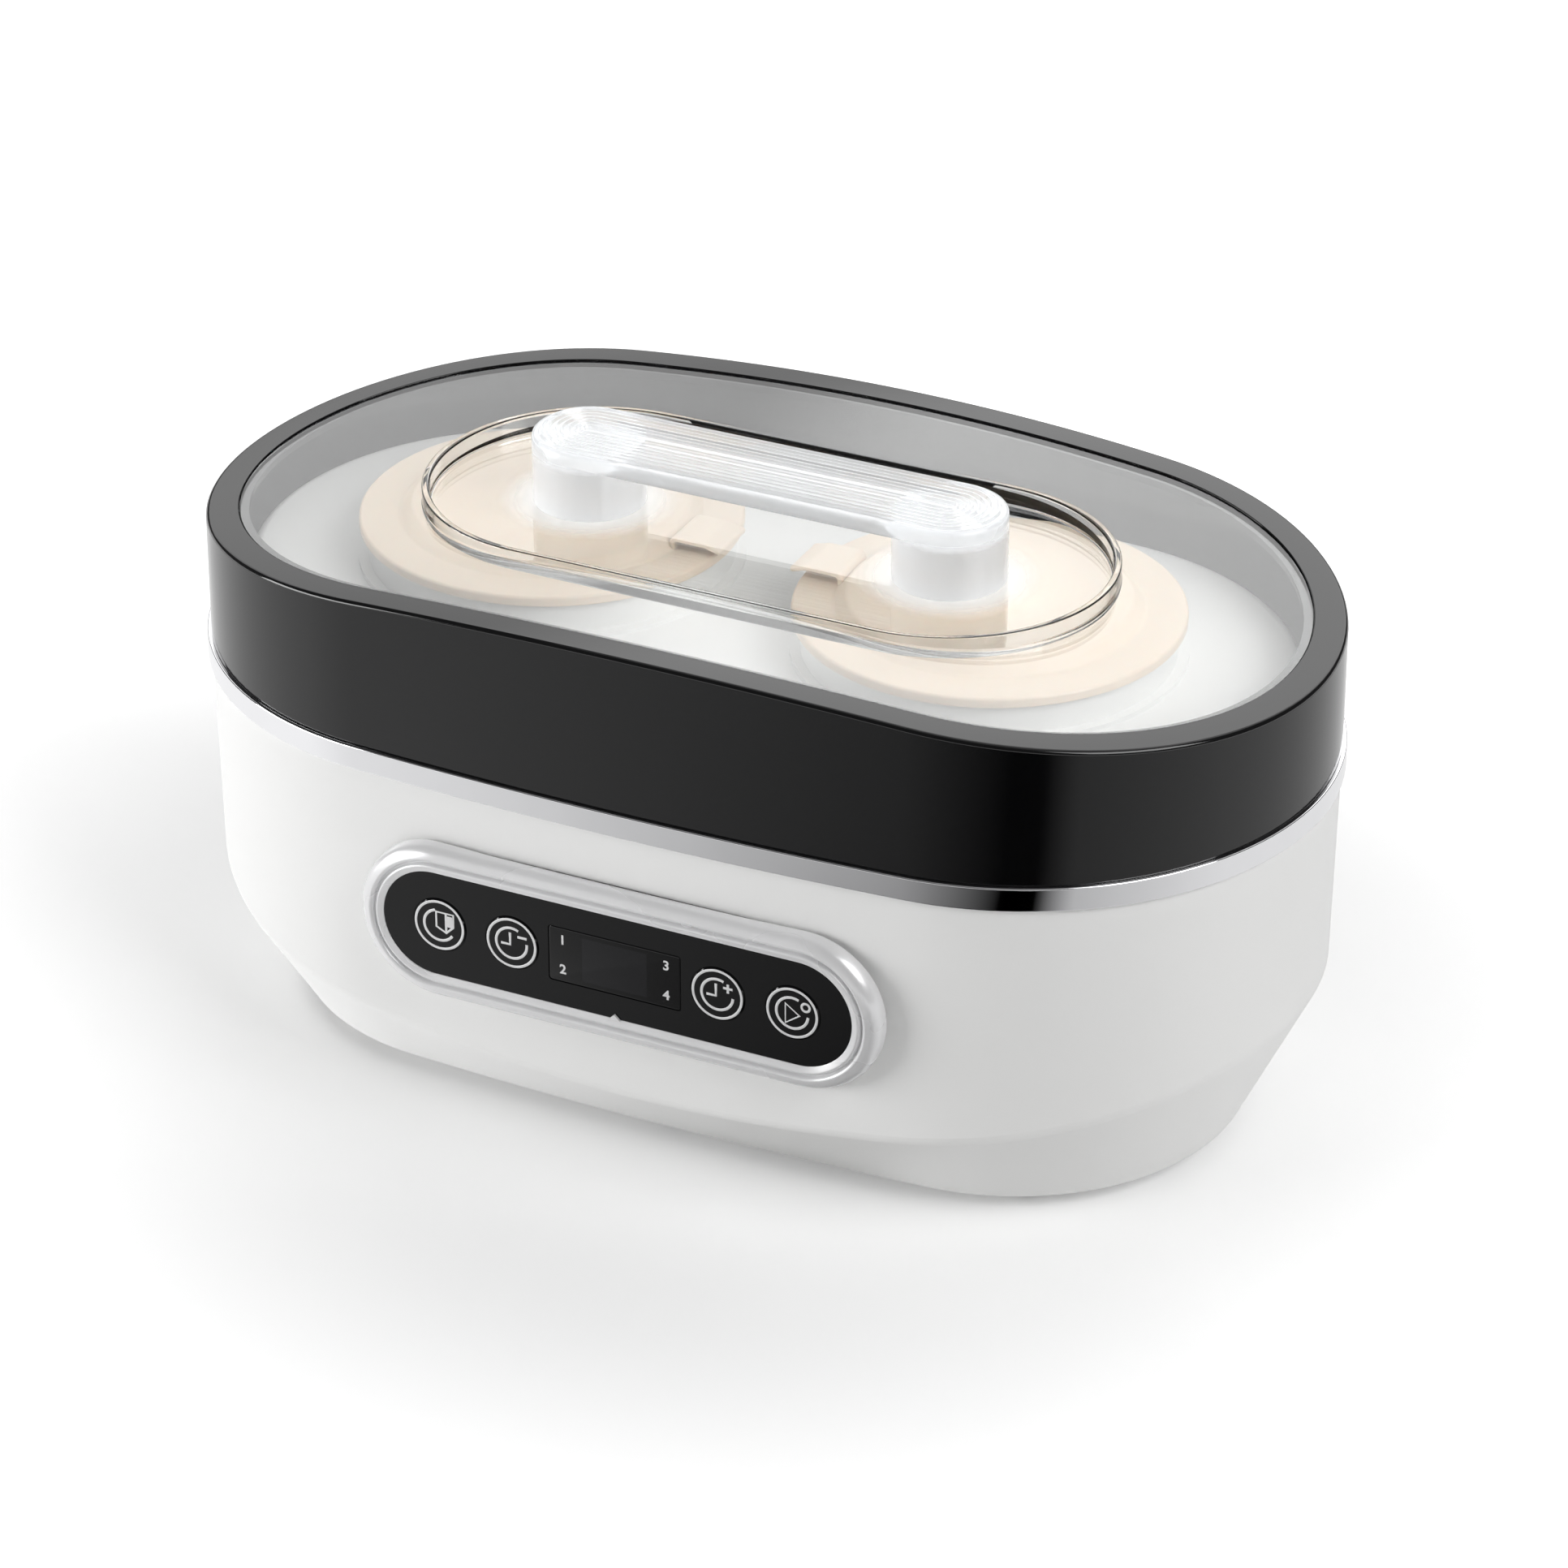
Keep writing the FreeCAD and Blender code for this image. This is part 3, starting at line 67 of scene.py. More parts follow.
END_CENTER = HALF_LENGTH - END_RADIUS
SWELL = HALF_WIDTH - END_RADIUS
SIDE_CENTER = (END_CENTER ** 2 - SWELL ** 2) / (2 * SWELL)
SIDE_RADIUS = SIDE_CENTER + HALF_WIDTH
TURN = math.atan2(END_CENTER, SIDE_CENTER)
END_STEPS = 60
SIDE_STEPS = 24
CORNER_STEPS = 4
BAR_STEPS = 90
HOUSING_TOP = 108.6
CREASE_FRONT = 26.5
CREASE_RISE = 23.0
CREASE_BEVEL = 1.6
INNER_CREASE = CREASE_FRONT + 1.5
WALL = 2.5
WALL_INSET = 1.1
FLARE_INSET = 22.0
FOOT_Z = 5.0
FOOT_CHAMFER = 0.5
LEDGE_IN = 33.0
LEDGE_Z = 7.5
PANEL_Z = 69.6
PANEL_ROUND = 16.0
PANEL_STRAIGHT = 55.0
PANEL_REBATE = 2.7
GLAND_Z = 58.0
GLAND_HOLE = 6.1
CUT_NEAR = 83.0
CUT_FAR = 97.0


def linear(code):
    """An sRGB hex colour as linear RGBA."""
    shares = [int(code[i:i + 2], 16) / 255 for i in (0, 2, 4)]
    return [s / 12.92 if s <= 0.04045 else ((s + 0.055) / 1.055) ** 2.4 for s in shares] + [1.0]


def add_node(tree, kind, settings, links):
    """Adds a node, sets its sockets and properties by name or number, and links its inputs."""
    node = tree.nodes.new(kind)
    for key, value in settings.items():
        if isinstance(key, int) or key in node.inputs:
            node.inputs[key].default_value = value
        else:
            setattr(node, key, value)
    for key, source in links.items():
        tree.links.new(source, node.inputs[key])
    return node


def new_material(name, values):
    """A new material with the given shader values, its node tree, its shader and its Object coordinates."""
    material = bpy.data.materials.new(name)
    material.use_nodes = True
    tree = material.node_tree
    shader = tree.nodes["Principled BSDF"]
    for key, value in values.items():
        shader.inputs[key].default_value = value
    spot = add_node(tree, "ShaderNodeTexCoord", {}, {}).outputs["Object"]
    return material, tree, shader, spot


def moulded(name, tones, patch, roughness, grain, values):
    """A face whose tone and gloss drift over patches in mm, with a grain of (size, depth) in mm."""
    material, tree, shader, spot = new_material(name, values)
    drift = {"Scale": 1 / (patch * MM), "Detail": 2.0}
    drift = add_node(tree, "ShaderNodeTexNoise", drift, {"Vector": spot})
    ramp = add_node(tree, "ShaderNodeValToRGB", {}, {"Fac": drift.outputs["Fac"]})
    for element, tone in zip(ramp.color_ramp.elements, tones):
        element.color = linear(tone)
    tree.links.new(ramp.outputs["Color"], shader.inputs["Base Color"])
    gloss = {"To Min": roughness[0], "To Max": roughness[1]}
    gloss = add_node(tree, "ShaderNodeMapRange", gloss, {"Value": drift.outputs["Fac"]})
    tree.links.new(gloss.outputs["Result"], shader.inputs["Roughness"])
    grain_size, grain_depth = grain
    pits = {"Scale": 1 / (grain_size * MM), "Detail": 3.0}
    pits = add_node(tree, "ShaderNodeTexNoise", pits, {"Vector": spot})
    bump = add_node(tree, "ShaderNodeBump", {"Distance": grain_depth * MM}, {"Height": pits.outputs["Fac"]})
    tree.links.new(bump.outputs["Normal"], shader.inputs["Normal"])
    return material


def paint(material, *pieces):
    """Gives pieces, or CAD nodes by name, one material."""
    for piece in pieces:
        mesh = nodes[piece].data if isinstance(piece, str) else piece.data
        mesh.materials.clear()
        mesh.materials.append(material)


def arc(center, radius, start, end, steps):
    """Points of an arc, with its angles in degrees."""
    turns = [math.radians(start + (end - start) * step / steps) for step in range(steps + 1)]
    return [(center[0] + radius * math.cos(turn), center[1] + radius * math.sin(turn)) for turn in turns]


def rounded(corners):
    """A section from corners (across, height) or (across, height, radius), with an arc at each radius."""
    points = []
    for i, corner in enumerate(corners):
        here = Vector(corner[:2])
        if len(corner) == 2:
            points.append(here)
            continue
        before = (Vector(corners[i - 1][:2]) - here).normalized()
        after = (Vector(corners[(i + 1) % len(corners)][:2]) - here).normalized()
        half = before.angle(after) / 2
        center = here + (before + after).normalized() * corner[2] / math.sin(half)
        first = here + before * corner[2] / math.tan(half) - center
        last = here + after * corner[2] / math.tan(half) - center
        sweep = math.pi - 2 * half
        for step in range(CORNER_STEPS + 1):
            share = step / CORNER_STEPS
            side = first * math.sin((1 - share) * sweep) + last * math.sin(share * sweep)
            points.append(center + side / math.sin(sweep))
    return points


def start_point(name, spot):
    """A new mesh of one vertex at spot, left in edit mode."""
    bpy.ops.object.select_all(action="DESELECT")
    bpy.ops.mesh.primitive_plane_add(size=MM, location=spot)
    piece = bpy.context.object
    piece.name = piece.data.name = name
    bpy.ops.object.mode_set(mode="EDIT")
    bpy.ops.mesh.select_mode(type="VERT")
    bpy.ops.mesh.merge(type="CENTER")
    return piece


def extrude_along(spots, closed):
    """Extrudes the selected vertex from spot to spot, and back to the first where the line is closed."""
    ends = spots[1:] + (spots[:1] if closed else [])
    for here, there in zip(spots, ends):
        bpy.ops.mesh.extrude_region_move(TRANSFORM_OT_translate={"value": there - here})
    bpy.ops.mesh.select_all(action="SELECT")
    bpy.ops.mesh.remove_doubles(threshold=POINT_MERGE * MM)


def close_up(piece, smooth_angle=SMOOTH_ANGLE):
    """Merges the seam, turns the faces outwards, settles the object at the origin and smooths it."""
    bpy.ops.mesh.select_all(action="SELECT")
    bpy.ops.mesh.remove_doubles(threshold=SAME * MM)
    bpy.ops.mesh.normals_make_consistent(inside=False)
    bpy.ops.object.mode_set(mode="OBJECT")
    bpy.ops.object.transform_apply(location=True, rotation=True, scale=True)
    bpy.ops.object.shade_smooth_by_angle(angle=math.radians(smooth_angle))
    return piece


def sweep_oval(name, section, closed=True):
    """Spins a section of (inset, height) points round the four arcs of the oval plan."""
    out = Vector((math.sin(TURN), -math.cos(TURN), 0))
    middle = Vector((END_CENTER, 0, 0))
    spots = [
        (middle + out * (END_RADIUS - inset) + Vector((0, 0, height))) * MM
        for inset, height in section]
    piece = start_point(name, spots[0])
    extrude_along(spots, closed)
    end_turn = math.pi - 2 * TURN
    arcs = [
        ((END_CENTER, 0), end_turn, END_STEPS),
        ((0, -SIDE_CENTER), 2 * TURN, SIDE_STEPS),
        ((-END_CENTER, 0), end_turn, END_STEPS),
        ((0, SIDE_CENTER), 2 * TURN, SIDE_STEPS),
    ]
    for (x, y), angle, steps in arcs:
        bpy.ops.mesh.spin(steps=steps, angle=-angle, center=(x * MM, y * MM, 0), axis=(0, 0, 1))
    return close_up(piece)


def apply_modifier(piece, kind, settings):
    """Adds a modifier with its settings to a piece and applies it."""
    bpy.context.view_layer.objects.active = piece
    modifier = piece.modifiers.new(kind.lower(), kind)
    for key, value in settings.items():
        setattr(modifier, key, value)
    bpy.ops.object.modifier_apply(modifier=modifier.name)


def cut_away(piece, cutter):
    """Cuts the cutter's shape out of a piece and throws the cutter away."""
    apply_modifier(piece, "BOOLEAN", {"object": cutter, "operation": "DIFFERENCE", "solver": "EXACT"})
    bpy.data.objects.remove(cutter)


def cross_bar(radius, straight, near, far, height):
    """A round-ended bar through the front or back wall, from near to far in y."""
    bpy.ops.object.select_all(action="DESELECT")
    place = (0, (near + far) / 2 * MM, height * MM)
    quarter_turn = math.pi / 2
    bpy.ops.mesh.primitive_cylinder_add(
        vertices=BAR_STEPS, radius=radius * MM, depth=(far - near) * MM,
        location=place, rotation=(quarter_turn, 0, 0))
    bar = bpy.context.object
    bpy.ops.object.transform_apply(location=True, rotation=True, scale=True)
    for vertex in bar.data.vertices:
        if abs(vertex.co.x) > SAME * MM:
            vertex.co.x += math.copysign(straight * MM, vertex.co.x)
    return bar


def select_edges(piece, wanted):
    """Opens a piece in edit mode with only the edges selected whose two ends are both wanted."""
    bpy.context.view_layer.objects.active = piece
    bpy.ops.object.mode_set(mode="EDIT")
    bpy.ops.mesh.select_mode(type="EDGE")
    bpy.ops.mesh.select_all(action="DESELECT")
    bpy.ops.object.mode_set(mode="OBJECT")
    vertices = piece.data.vertices
    for edge in piece.data.edges:
        edge.select = all(wanted(vertices[i].co / MM) for i in edge.vertices)
    bpy.ops.object.mode_set(mode="EDIT")


def crease_height(x):
    """The height of the crease between wall and flare at x, in mm."""
    return CREASE_FRONT + CREASE_RISE * (x / HALF_LENGTH) ** 2


housing = sweep_oval("white_housing", rounded([
    (0, HOUSING_TOP),
    (WALL_INSET, CREASE_FRONT),
    (FLARE_INSET, FOOT_Z + FOOT_CHAMFER),
    (FLARE_INSET + FOOT_CHAMFER, FOOT_Z),
    (FLARE_INSET + WALL, FOOT_Z),
    (FLARE_INSET + WALL, LEDGE_Z),
    (LEDGE_IN, LEDGE_Z),
    (LEDGE_IN, LEDGE_Z + WALL),
    (FLARE_INSET + WALL, LEDGE_Z + WALL),
    (WALL_INSET + WALL, INNER_CREASE),
    (WALL, HOUSING_TOP),
]))
for vertex in housing.data.vertices:
    at_crease = CREASE_FRONT - SLACK < vertex.co.z / MM < INNER_CREASE + SLACK
    if at_crease:
        vertex.co.z += (crease_height(vertex.co.x / MM) - CREASE_FRONT) * MM
select_edges(housing, lambda spot: abs(spot.z - crease_height(spot.x)) < SLACK)
bpy.ops.mesh.bevel(offset=CREASE_BEVEL * MM, segments=3)
bpy.ops.object.mode_set(mode="OBJECT")
cut_away(housing, cross_bar(PANEL_ROUND + PANEL_REBATE, PANEL_STRAIGHT, -CUT_FAR, -CUT_NEAR, PANEL_Z))
cut_away(housing, cross_bar(GLAND_HOLE, 0, CUT_NEAR, CUT_FAR, GLAND_Z))
bpy.ops.object.select_all(action="DESELECT")
housing.select_set(True)
bpy.ops.object.shade_smooth_by_angle(angle=math.radians(SMOOTH_ANGLE))
apply_modifier(housing, "WEIGHTED_NORMAL", {"keep_sharp": True})
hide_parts("outer_housing")
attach(housing, "base")

# Satin ABS: opaque and nearly white, with the faint grain of a spark-eroded mould, which blurs reflections.
white_abs = moulded(
    "satin_white_abs", ("EEEEED", "F2F2F1"), patch=70, roughness=(0.30, 0.38), grain=(0.9, 0.006),
    values={"IOR": 1.53})
paint(white_abs, housing)


# Bottom cover: a white ABS plate in the rebate under the foot, with vent slots, four posts for the power
# board and six zinc-plated screws. Four pale rubber feet are pulled up through it by their stems.
paint(white_abs, "bottom_cover")

# Zinc-plated steel: a bright grey metal that its thin plating leaves a little cloudy.
zinc_steel = moulded(
    "zinc_plated_steel", ("A9ABAD", "BDBFC1"), patch=2, roughness=(0.28, 0.42), grain=(0.4, 0.01),
    values={"Metallic": 1.0})
paint(
    zinc_steel, "cover_screws", "heater_screws", "power_board_screws", "panel_screws", "control_board_screws")

# Moulded rubber: soft and dull, with a dusty bloom in patches.
pale_rubber = moulded(
    "pale_grey_rubber", ("B9B9B7", "C6C6C4"), patch=4, roughness=(0.62, 0.78), grain=(0.3, 0.02),
    values={"IOR": 1.5})
paint(pale_rubber, "foot_front_left", "foot_front_right", "foot_rear_left", "foot_rear_right")


# Power electronics: a green board on the cover's posts with a transformer, relay, terminal block, capacitor
# and fuse soldered to it, and a flat cable up to the control board. They can't be seen once it is closed.
# Solder mask: a thin green lacquer over the board, glossy and a little uneven.
solder_mask = moulded(
    "green_solder_mask", ("0E4A26", "14602F"), patch=6, roughness=(0.25, 0.4), grain=(0.5, 0.01),
    values={"IOR": 1.55})
paint(solder_mask, "power_board", "control_board")
# Phenolic: hard, nearly black plastic with a dull shine.
phenolic = moulded(
    "black_phenolic", ("17171A", "222225"), patch=5, roughness=(0.35, 0.5), grain=(0.3, 0.01),
    values={"IOR": 1.55})
paint(phenolic, "relay", "terminal_block", "filter_capacitor", "tact_switches")
# Core steel: thin dark sheets under varnish, which show as fine stripes of grey.
laminations = moulded(
    "varnished_core_steel", ("3A3B3E", "56575A"), patch=0.8, roughness=(0.3, 0.45), grain=(0.5, 0.03),
    values={"Metallic": 0.7})
paint(laminations, "transformer")
# Lead insulation: soft white plastic with a satin skin.
lead_pvc = moulded(
    "white_lead_insulation", ("CFCFCB", "DADAD6"), patch=3, roughness=(0.4, 0.5), grain=(0.3, 0.01),
    values={"IOR": 1.5})
paint(
    lead_pvc, "ribbon_cable", "heater_lead_left", "heater_lead_right",
    "thermal_fuse_left", "thermal_fuse_right")
# Glass: a drawn tube, smooth and faintly green, which is half seen through.
glass_tube = moulded(
    "glass_tube", ("C9D2D2", "D6DEDE"), patch=4, roughness=(0.05, 0.1), grain=(2, 0.002),
    values={"IOR": 1.5, "Alpha": 0.7})
paint(glass_tube, "mains_fuse")


# Cord gland: a dark rubber bush, moulded in one piece and pulled through the rear wall, with a flange on each
# side and a bore for the lead.
# Dark rubber: dull and nearly black, greyer where its bloom lies.
dark_rubber = moulded(
    "dark_grey_rubber", ("242424", "303030"), patch=4, roughness=(0.6, 0.75), grain=(0.3, 0.02),
    values={"IOR": 1.5})
paint(dark_rubber, "cord_gland")


# Panel bezel: the silver frame round the black panel, moulded and spray-painted. A groove parts its thin
# sloped lip from a round bead, which stands a little off the curved wall. A small nib points into the panel
# at the bottom middle, and screws from inside the wall hold the bezel.
FACE_OUT = 96.3
FASCIA_OUT = 95.3
LIP_WIDTH = 2.6
LIP_RISE = 0.2
LIP_BACK = 94.0
GROOVE_HALF = 0.5
GROOVE_DEEP = 1.4
BEAD_START = 0.9
BEAD_WIDTH = 7.8
BEAD_FALL = 0.4
BEAD_ROUND = 4.0
GAP_OUT = 91.5
GAP_ROUND = 0.3
GAP_DEEP = 2.0
BACK_OUT = 90.0
NIB = 1.7
NIB_ROOT = 0.2
NIB_SUNK = 0.3


def sweep_stadium(name, section, straight, center, axis, closed):
    """Carries a section of (reach, height) points round a round-ended outline that lies square to axis."""
    out = Vector((1, 0, 0)).cross(axis)
    end = Vector(center) + Vector((straight, 0, 0))
    spots = [(end + out * reach + axis * height) * MM for reach, height in section]
    piece = start_point(name, spots[0])
    extrude_along(spots, closed)
    for side in (1, -1):
        pivot = (Vector(center) + Vector((side * straight, 0, 0))) * MM
        bpy.ops.mesh.spin(steps=END_STEPS, angle=-math.pi, center=pivot, axis=axis)
        step = Vector((-side * 2 * straight / SIDE_STEPS, 0, 0)) * MM
        for _ in range(SIDE_STEPS):
            bpy.ops.mesh.extrude_region_move(TRANSFORM_OT_translate={"value": step})
    return close_up(piece)


def flat_plate(name, outline, near, far):
    """A plate of an (x, z) outline, from near to far in y."""
    spots = [Vector((x, far, z)) * MM for x, z in outline]
    plate = start_point(name, spots[0])
    extrude_along(spots, True)
    bpy.ops.mesh.edge_face_add()
    bpy.ops.mesh.extrude_region_move(TRANSFORM_OT_translate={"value": (0, (near - far) * MM, 0)})
    return close_up(plate)


def join_pieces(name, pieces):
    """Makes several pieces one object with one mesh."""
    bpy.ops.object.select_all(action="DESELECT")
    for piece in pieces:
        piece.select_set(True)
    bpy.context.view_layer.objects.active = pieces[0]
    bpy.ops.object.join()
    pieces[0].name = pieces[0].data.name = name
    return pieces[0]


groove = PANEL_ROUND + LIP_WIDTH
groove_floor = FACE_OUT - GROOVE_DEEP
edge = PANEL_ROUND + BEAD_WIDTH
front = Vector((0, -1, 0))
bezel = sweep_stadium("silver_bezel", rounded([
    (PANEL_ROUND, LIP_BACK),
    (PANEL_ROUND, FASCIA_OUT + LIP_RISE, 0.1),
    (groove - GROOVE_HALF, FACE_OUT, 0.6),
    (groove, groove_floor, 0.2),
    (groove + GROOVE_HALF, groove_floor, 0.2),
    (groove + BEAD_START, FACE_OUT, 0.9),
    (edge, FACE_OUT - BEAD_FALL, BEAD_ROUND),
    (edge, GAP_OUT, GAP_ROUND),
    (edge - GAP_DEEP, GAP_OUT),
    (edge - GAP_DEEP, BACK_OUT),
    (groove, BACK_OUT),
    (groove, LIP_BACK),
]), PANEL_STRAIGHT, (0, 0, PANEL_Z), front, True)
wall = SIDE_RADIUS - WALL_INSET / 2
for vertex in bezel.data.vertices:
    stand_off = -vertex.co.y / MM - BACK_OUT
    if stand_off < GAP_OUT - BACK_OUT + GAP_ROUND + SLACK:
        wall_y = SIDE_CENTER - math.sqrt(wall ** 2 - (vertex.co.x / MM) ** 2)
        vertex.co.y = (wall_y - SLACK - stand_off) * MM
nib_low = PANEL_Z - PANEL_ROUND - NIB_ROOT
nib_outline = [(-NIB, nib_low), (NIB, nib_low), (0, nib_low + NIB)]
nib = flat_plate("bezel_nib", nib_outline, NIB_SUNK - FACE_OUT, -FASCIA_OUT)
bezel = join_pieces("silver_bezel", [bezel, nib])
apply_modifier(bezel, "WEIGHTED_NORMAL", {"keep_sharp": True})
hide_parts("panel_bezel")
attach(bezel, "base")

# Satin silver paint: fine aluminium flake in a clear binder, so it is bright, a little metallic and soft.
silver_paint = moulded(
    "satin_silver_paint", ("E0E0E1", "E8E8E9"), patch=25, roughness=(0.24, 0.3), grain=(1.2, 0.01),
    values={"Metallic": 0.25, "IOR": 1.5})
paint(silver_paint, bezel)


# Panel fascia: one gloss black plate in the bezel, with holes for four buttons and a window over the display.
# The buttons are of the same plastic; each has a round flange behind the plate and presses a small switch.
# Gloss black ABS: moulded in a polished mould, so it mirrors its surroundings over a deep black.
black_fascia = moulded(
    "gloss_black_panel_abs", ("040405", "070708"), patch=40, roughness=(0.07, 0.11), grain=(30, 0.01),
    values={"IOR": 1.4})
paint(black_fascia, "panel_fascia", "button_program", "button_minus", "button_plus", "button_start")


# Display window: a smoked clear plate, flush in the fascia, with a small chamfer and round corners. The
# display stands behind it on the control board and shows as a slightly paler field.
WINDOW_WIDE = 40.0
WINDOW_HIGH = 17.0
WINDOW_THICK = 2.2
WINDOW_CORNER = 1.0
WINDOW_CHAMFER = 0.45
FIELD_HALF_WIDE = 9.8
FIELD_HALF_HIGH = 6.8
bpy.ops.object.select_all(action="DESELECT")
bpy.ops.mesh.primitive_cube_add(size=1, location=(0, (WINDOW_THICK / 2 - FASCIA_OUT) * MM, PANEL_Z * MM))
window = bpy.context.object
window.name = window.data.name = "display_window_plate"
window.scale = (WINDOW_WIDE * MM, WINDOW_THICK * MM, WINDOW_HIGH * MM)
bpy.ops.object.transform_apply(location=True, rotation=True, scale=True)
for right in (True, False):
    for top in (True, False):
        select_edges(window, lambda spot: (spot.x > 0) == right and (spot.z > PANEL_Z) == top)
        bpy.ops.mesh.bevel(offset=WINDOW_CORNER * MM, segments=4)
        bpy.ops.object.mode_set(mode="OBJECT")
select_edges(window, lambda spot: abs(spot.y + FASCIA_OUT) < SAME)
bpy.ops.mesh.bevel(offset=WINDOW_CHAMFER * MM, segments=2)
close_up(window)
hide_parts("display_window")
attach(window, "base")

# Smoked acrylic: a polished dark plate; the display's field behind it reads a shade paler than the rest.
smoked, tree, shader, spot = new_material("smoked_acrylic", {"Roughness": 0.06, "IOR": 1.4})
parts = add_node(tree, "ShaderNodeSeparateXYZ", {}, {"Vector": spot})
wide = {"operation": "COMPARE", 1: 0.0, 2: FIELD_HALF_WIDE * MM}
wide = add_node(tree, "ShaderNodeMath", wide, {0: parts.outputs["X"]})
high = {"operation": "COMPARE", 1: PANEL_Z * MM, 2: FIELD_HALF_HIGH * MM}
high = add_node(tree, "ShaderNodeMath", high, {0: parts.outputs["Z"]})
both = {0: wide.outputs[0], 1: high.outputs[0]}
field = add_node(tree, "ShaderNodeMath", {"operation": "MULTIPLY"}, both)
ramp = add_node(tree, "ShaderNodeValToRGB", {}, {"Fac": field.outputs[0]})
ramp.color_ramp.elements[0].color = linear("0A0A0B")
ramp.color_ramp.elements[1].color = linear("18181A")
tree.links.new(ramp.outputs["Color"], shader.inputs["Base Color"])
paint(smoked, window)
# Display face: grey filter plastic, smooth and dim behind the smoked plate.
display_face = moulded(
    "grey_display_face", ("26282A", "303234"), patch=5, roughness=(0.2, 0.3), grain=(1, 0.002),
    values={"IOR": 1.5})
paint(display_face, "display_module")
# Lamp lenses: frosted pale resin, which looks whitish when the lamps are off.
lamp_lens = moulded(
    "frosted_lamp_lens", ("E2E6EA", "EEF0F2"), patch=1, roughness=(0.3, 0.4), grain=(0.3, 0.01),
    values={"IOR": 1.5})
paint(lamp_lens, "program_leds")


# Panel print: silver ink, screen-printed on each button's face as a ring, an open ring and a sign, and on the
# window as the program numbers 1 to 4. The signs are a carton, a clock less, a clock more, and start.
BUTTON_OUT = FASCIA_OUT + 0.4
OUTER_BUTTON_X = 53.5
INNER_BUTTON_X = 31.2
INK_HIGH = 0.12
INK_SMOOTH_ANGLE = 40
RING_RADIUS = 7.3
RING_LINE = 0.75
OPEN_RING_RADIUS = 4.7
OPEN_RING_LINE = 0.8

# Silver ink: opaque and pale grey, with a slight metallic shine and a soft printed edge.
silver_ink = moulded(
    "silver_screen_ink", ("DADADB", "E6E6E6"), patch=0.8, roughness=(0.35, 0.45), grain=(0.2, 0.01),
    values={"Metallic": 0.3})


def ink_line(x, points, width, closed):
    """A raised line of ink on a button's face, along (x, z) points from the button's middle."""
    spots = [Vector((x + across, -BUTTON_OUT, PANEL_Z + up)) * MM for across, up in points]
    line = start_point("ink", spots[0])
    extrude_along(spots, closed)
    bpy.ops.object.mode_set(mode="OBJECT")
    bpy.ops.object.convert(target="CURVE")
    line.data.bevel_depth = width / 2 * MM
    line.data.bevel_resolution = 2
    line.data.use_fill_caps = True
    bpy.ops.object.convert(target="MESH")
    bpy.ops.object.mode_set(mode="EDIT")
    bpy.ops.mesh.select_all(action="SELECT")
    flat = (1, INK_HIGH / width, 1)
    bpy.ops.transform.resize(value=flat, center_override=(0, -BUTTON_OUT * MM, 0))
    return close_up(line, INK_SMOOTH_ANGLE)


def copy_piece(piece, name, shift, turn):
    """A copy with its own mesh, moved by shift in mm and turned about the object's upright middle line."""
    bpy.ops.object.select_all(action="DESELECT")
    piece.select_set(True)
    bpy.context.view_layer.objects.active = piece
    bpy.ops.object.duplicate()
    twin = bpy.context.object
    twin.name = twin.data.name = name
    bpy.ops.transform.translate(value=Vector(shift) * MM)
    bpy.ops.transform.rotate(value=turn, orient_axis="Z", center_override=(0, 0, 0))
    bpy.ops.object.transform_apply(location=True, rotation=True, scale=True)
    return twin


carton = [
    ([(-0.9, 4.1), (4.4, 4.1), (4.3, 0.2), (2.1, -2.0), (-0.9, -0.5)], 0.7, True),
    ([(2.1, 4.1), (2.1, -1.8)], 0.7, False),
    ([(3.2, 3.4), (3.2, 0.0)], 1.7, False),
]
less = [([(1.9, 2.35), (4.7, 2.35)], 0.8, False)]
more = [([(1.8, 2.5), (4.6, 2.5)], 0.75, False), ([(3.2, 1.1), (3.2, 3.9)], 0.75, False)]
start = [
    ([(-2.0, 2.6), (2.2, -0.4), (-2.0, -3.4)], 0.75, True),
    (arc((4.0, 2.6), 1.2, 0, 345, 23), 0.7, True),
]
full_ring = ink_line(0, arc((0, 0), RING_RADIUS, 0, 354, 59), RING_LINE, True)
clock_hands = ink_line(0, [(-0.4, 3.3), (-0.4, -0.5), (-3.2, -0.5)], 0.8, False)
buttons = (
    ("button_program", -OUTER_BUTTON_X, carton, (105, 327), [full_ring]),
    ("button_minus", -INNER_BUTTON_X, less, (63, 367), [full_ring, clock_hands]),
    ("button_plus", INNER_BUTTON_X, more, (66, 357), [full_ring, clock_hands]),
    ("button_start", OUTER_BUTTON_X, start, (66, 357), [full_ring]),
)
for name, x, sign, gap, shared in buttons:
    lines = [copy_piece(line, "ink", (x, 0, 0), 0) for line in shared]
    lines.append(ink_line(x, arc((0, 0), OPEN_RING_RADIUS, *gap, 40), OPEN_RING_LINE, False))
    lines += [ink_line(x, *line) for line in sign]
    button_print = join_pieces(name + "_print", lines)
    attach(button_print, name)
    paint(silver_ink, button_print)
for line in (full_ring, clock_hands):
    bpy.data.objects.remove(line)

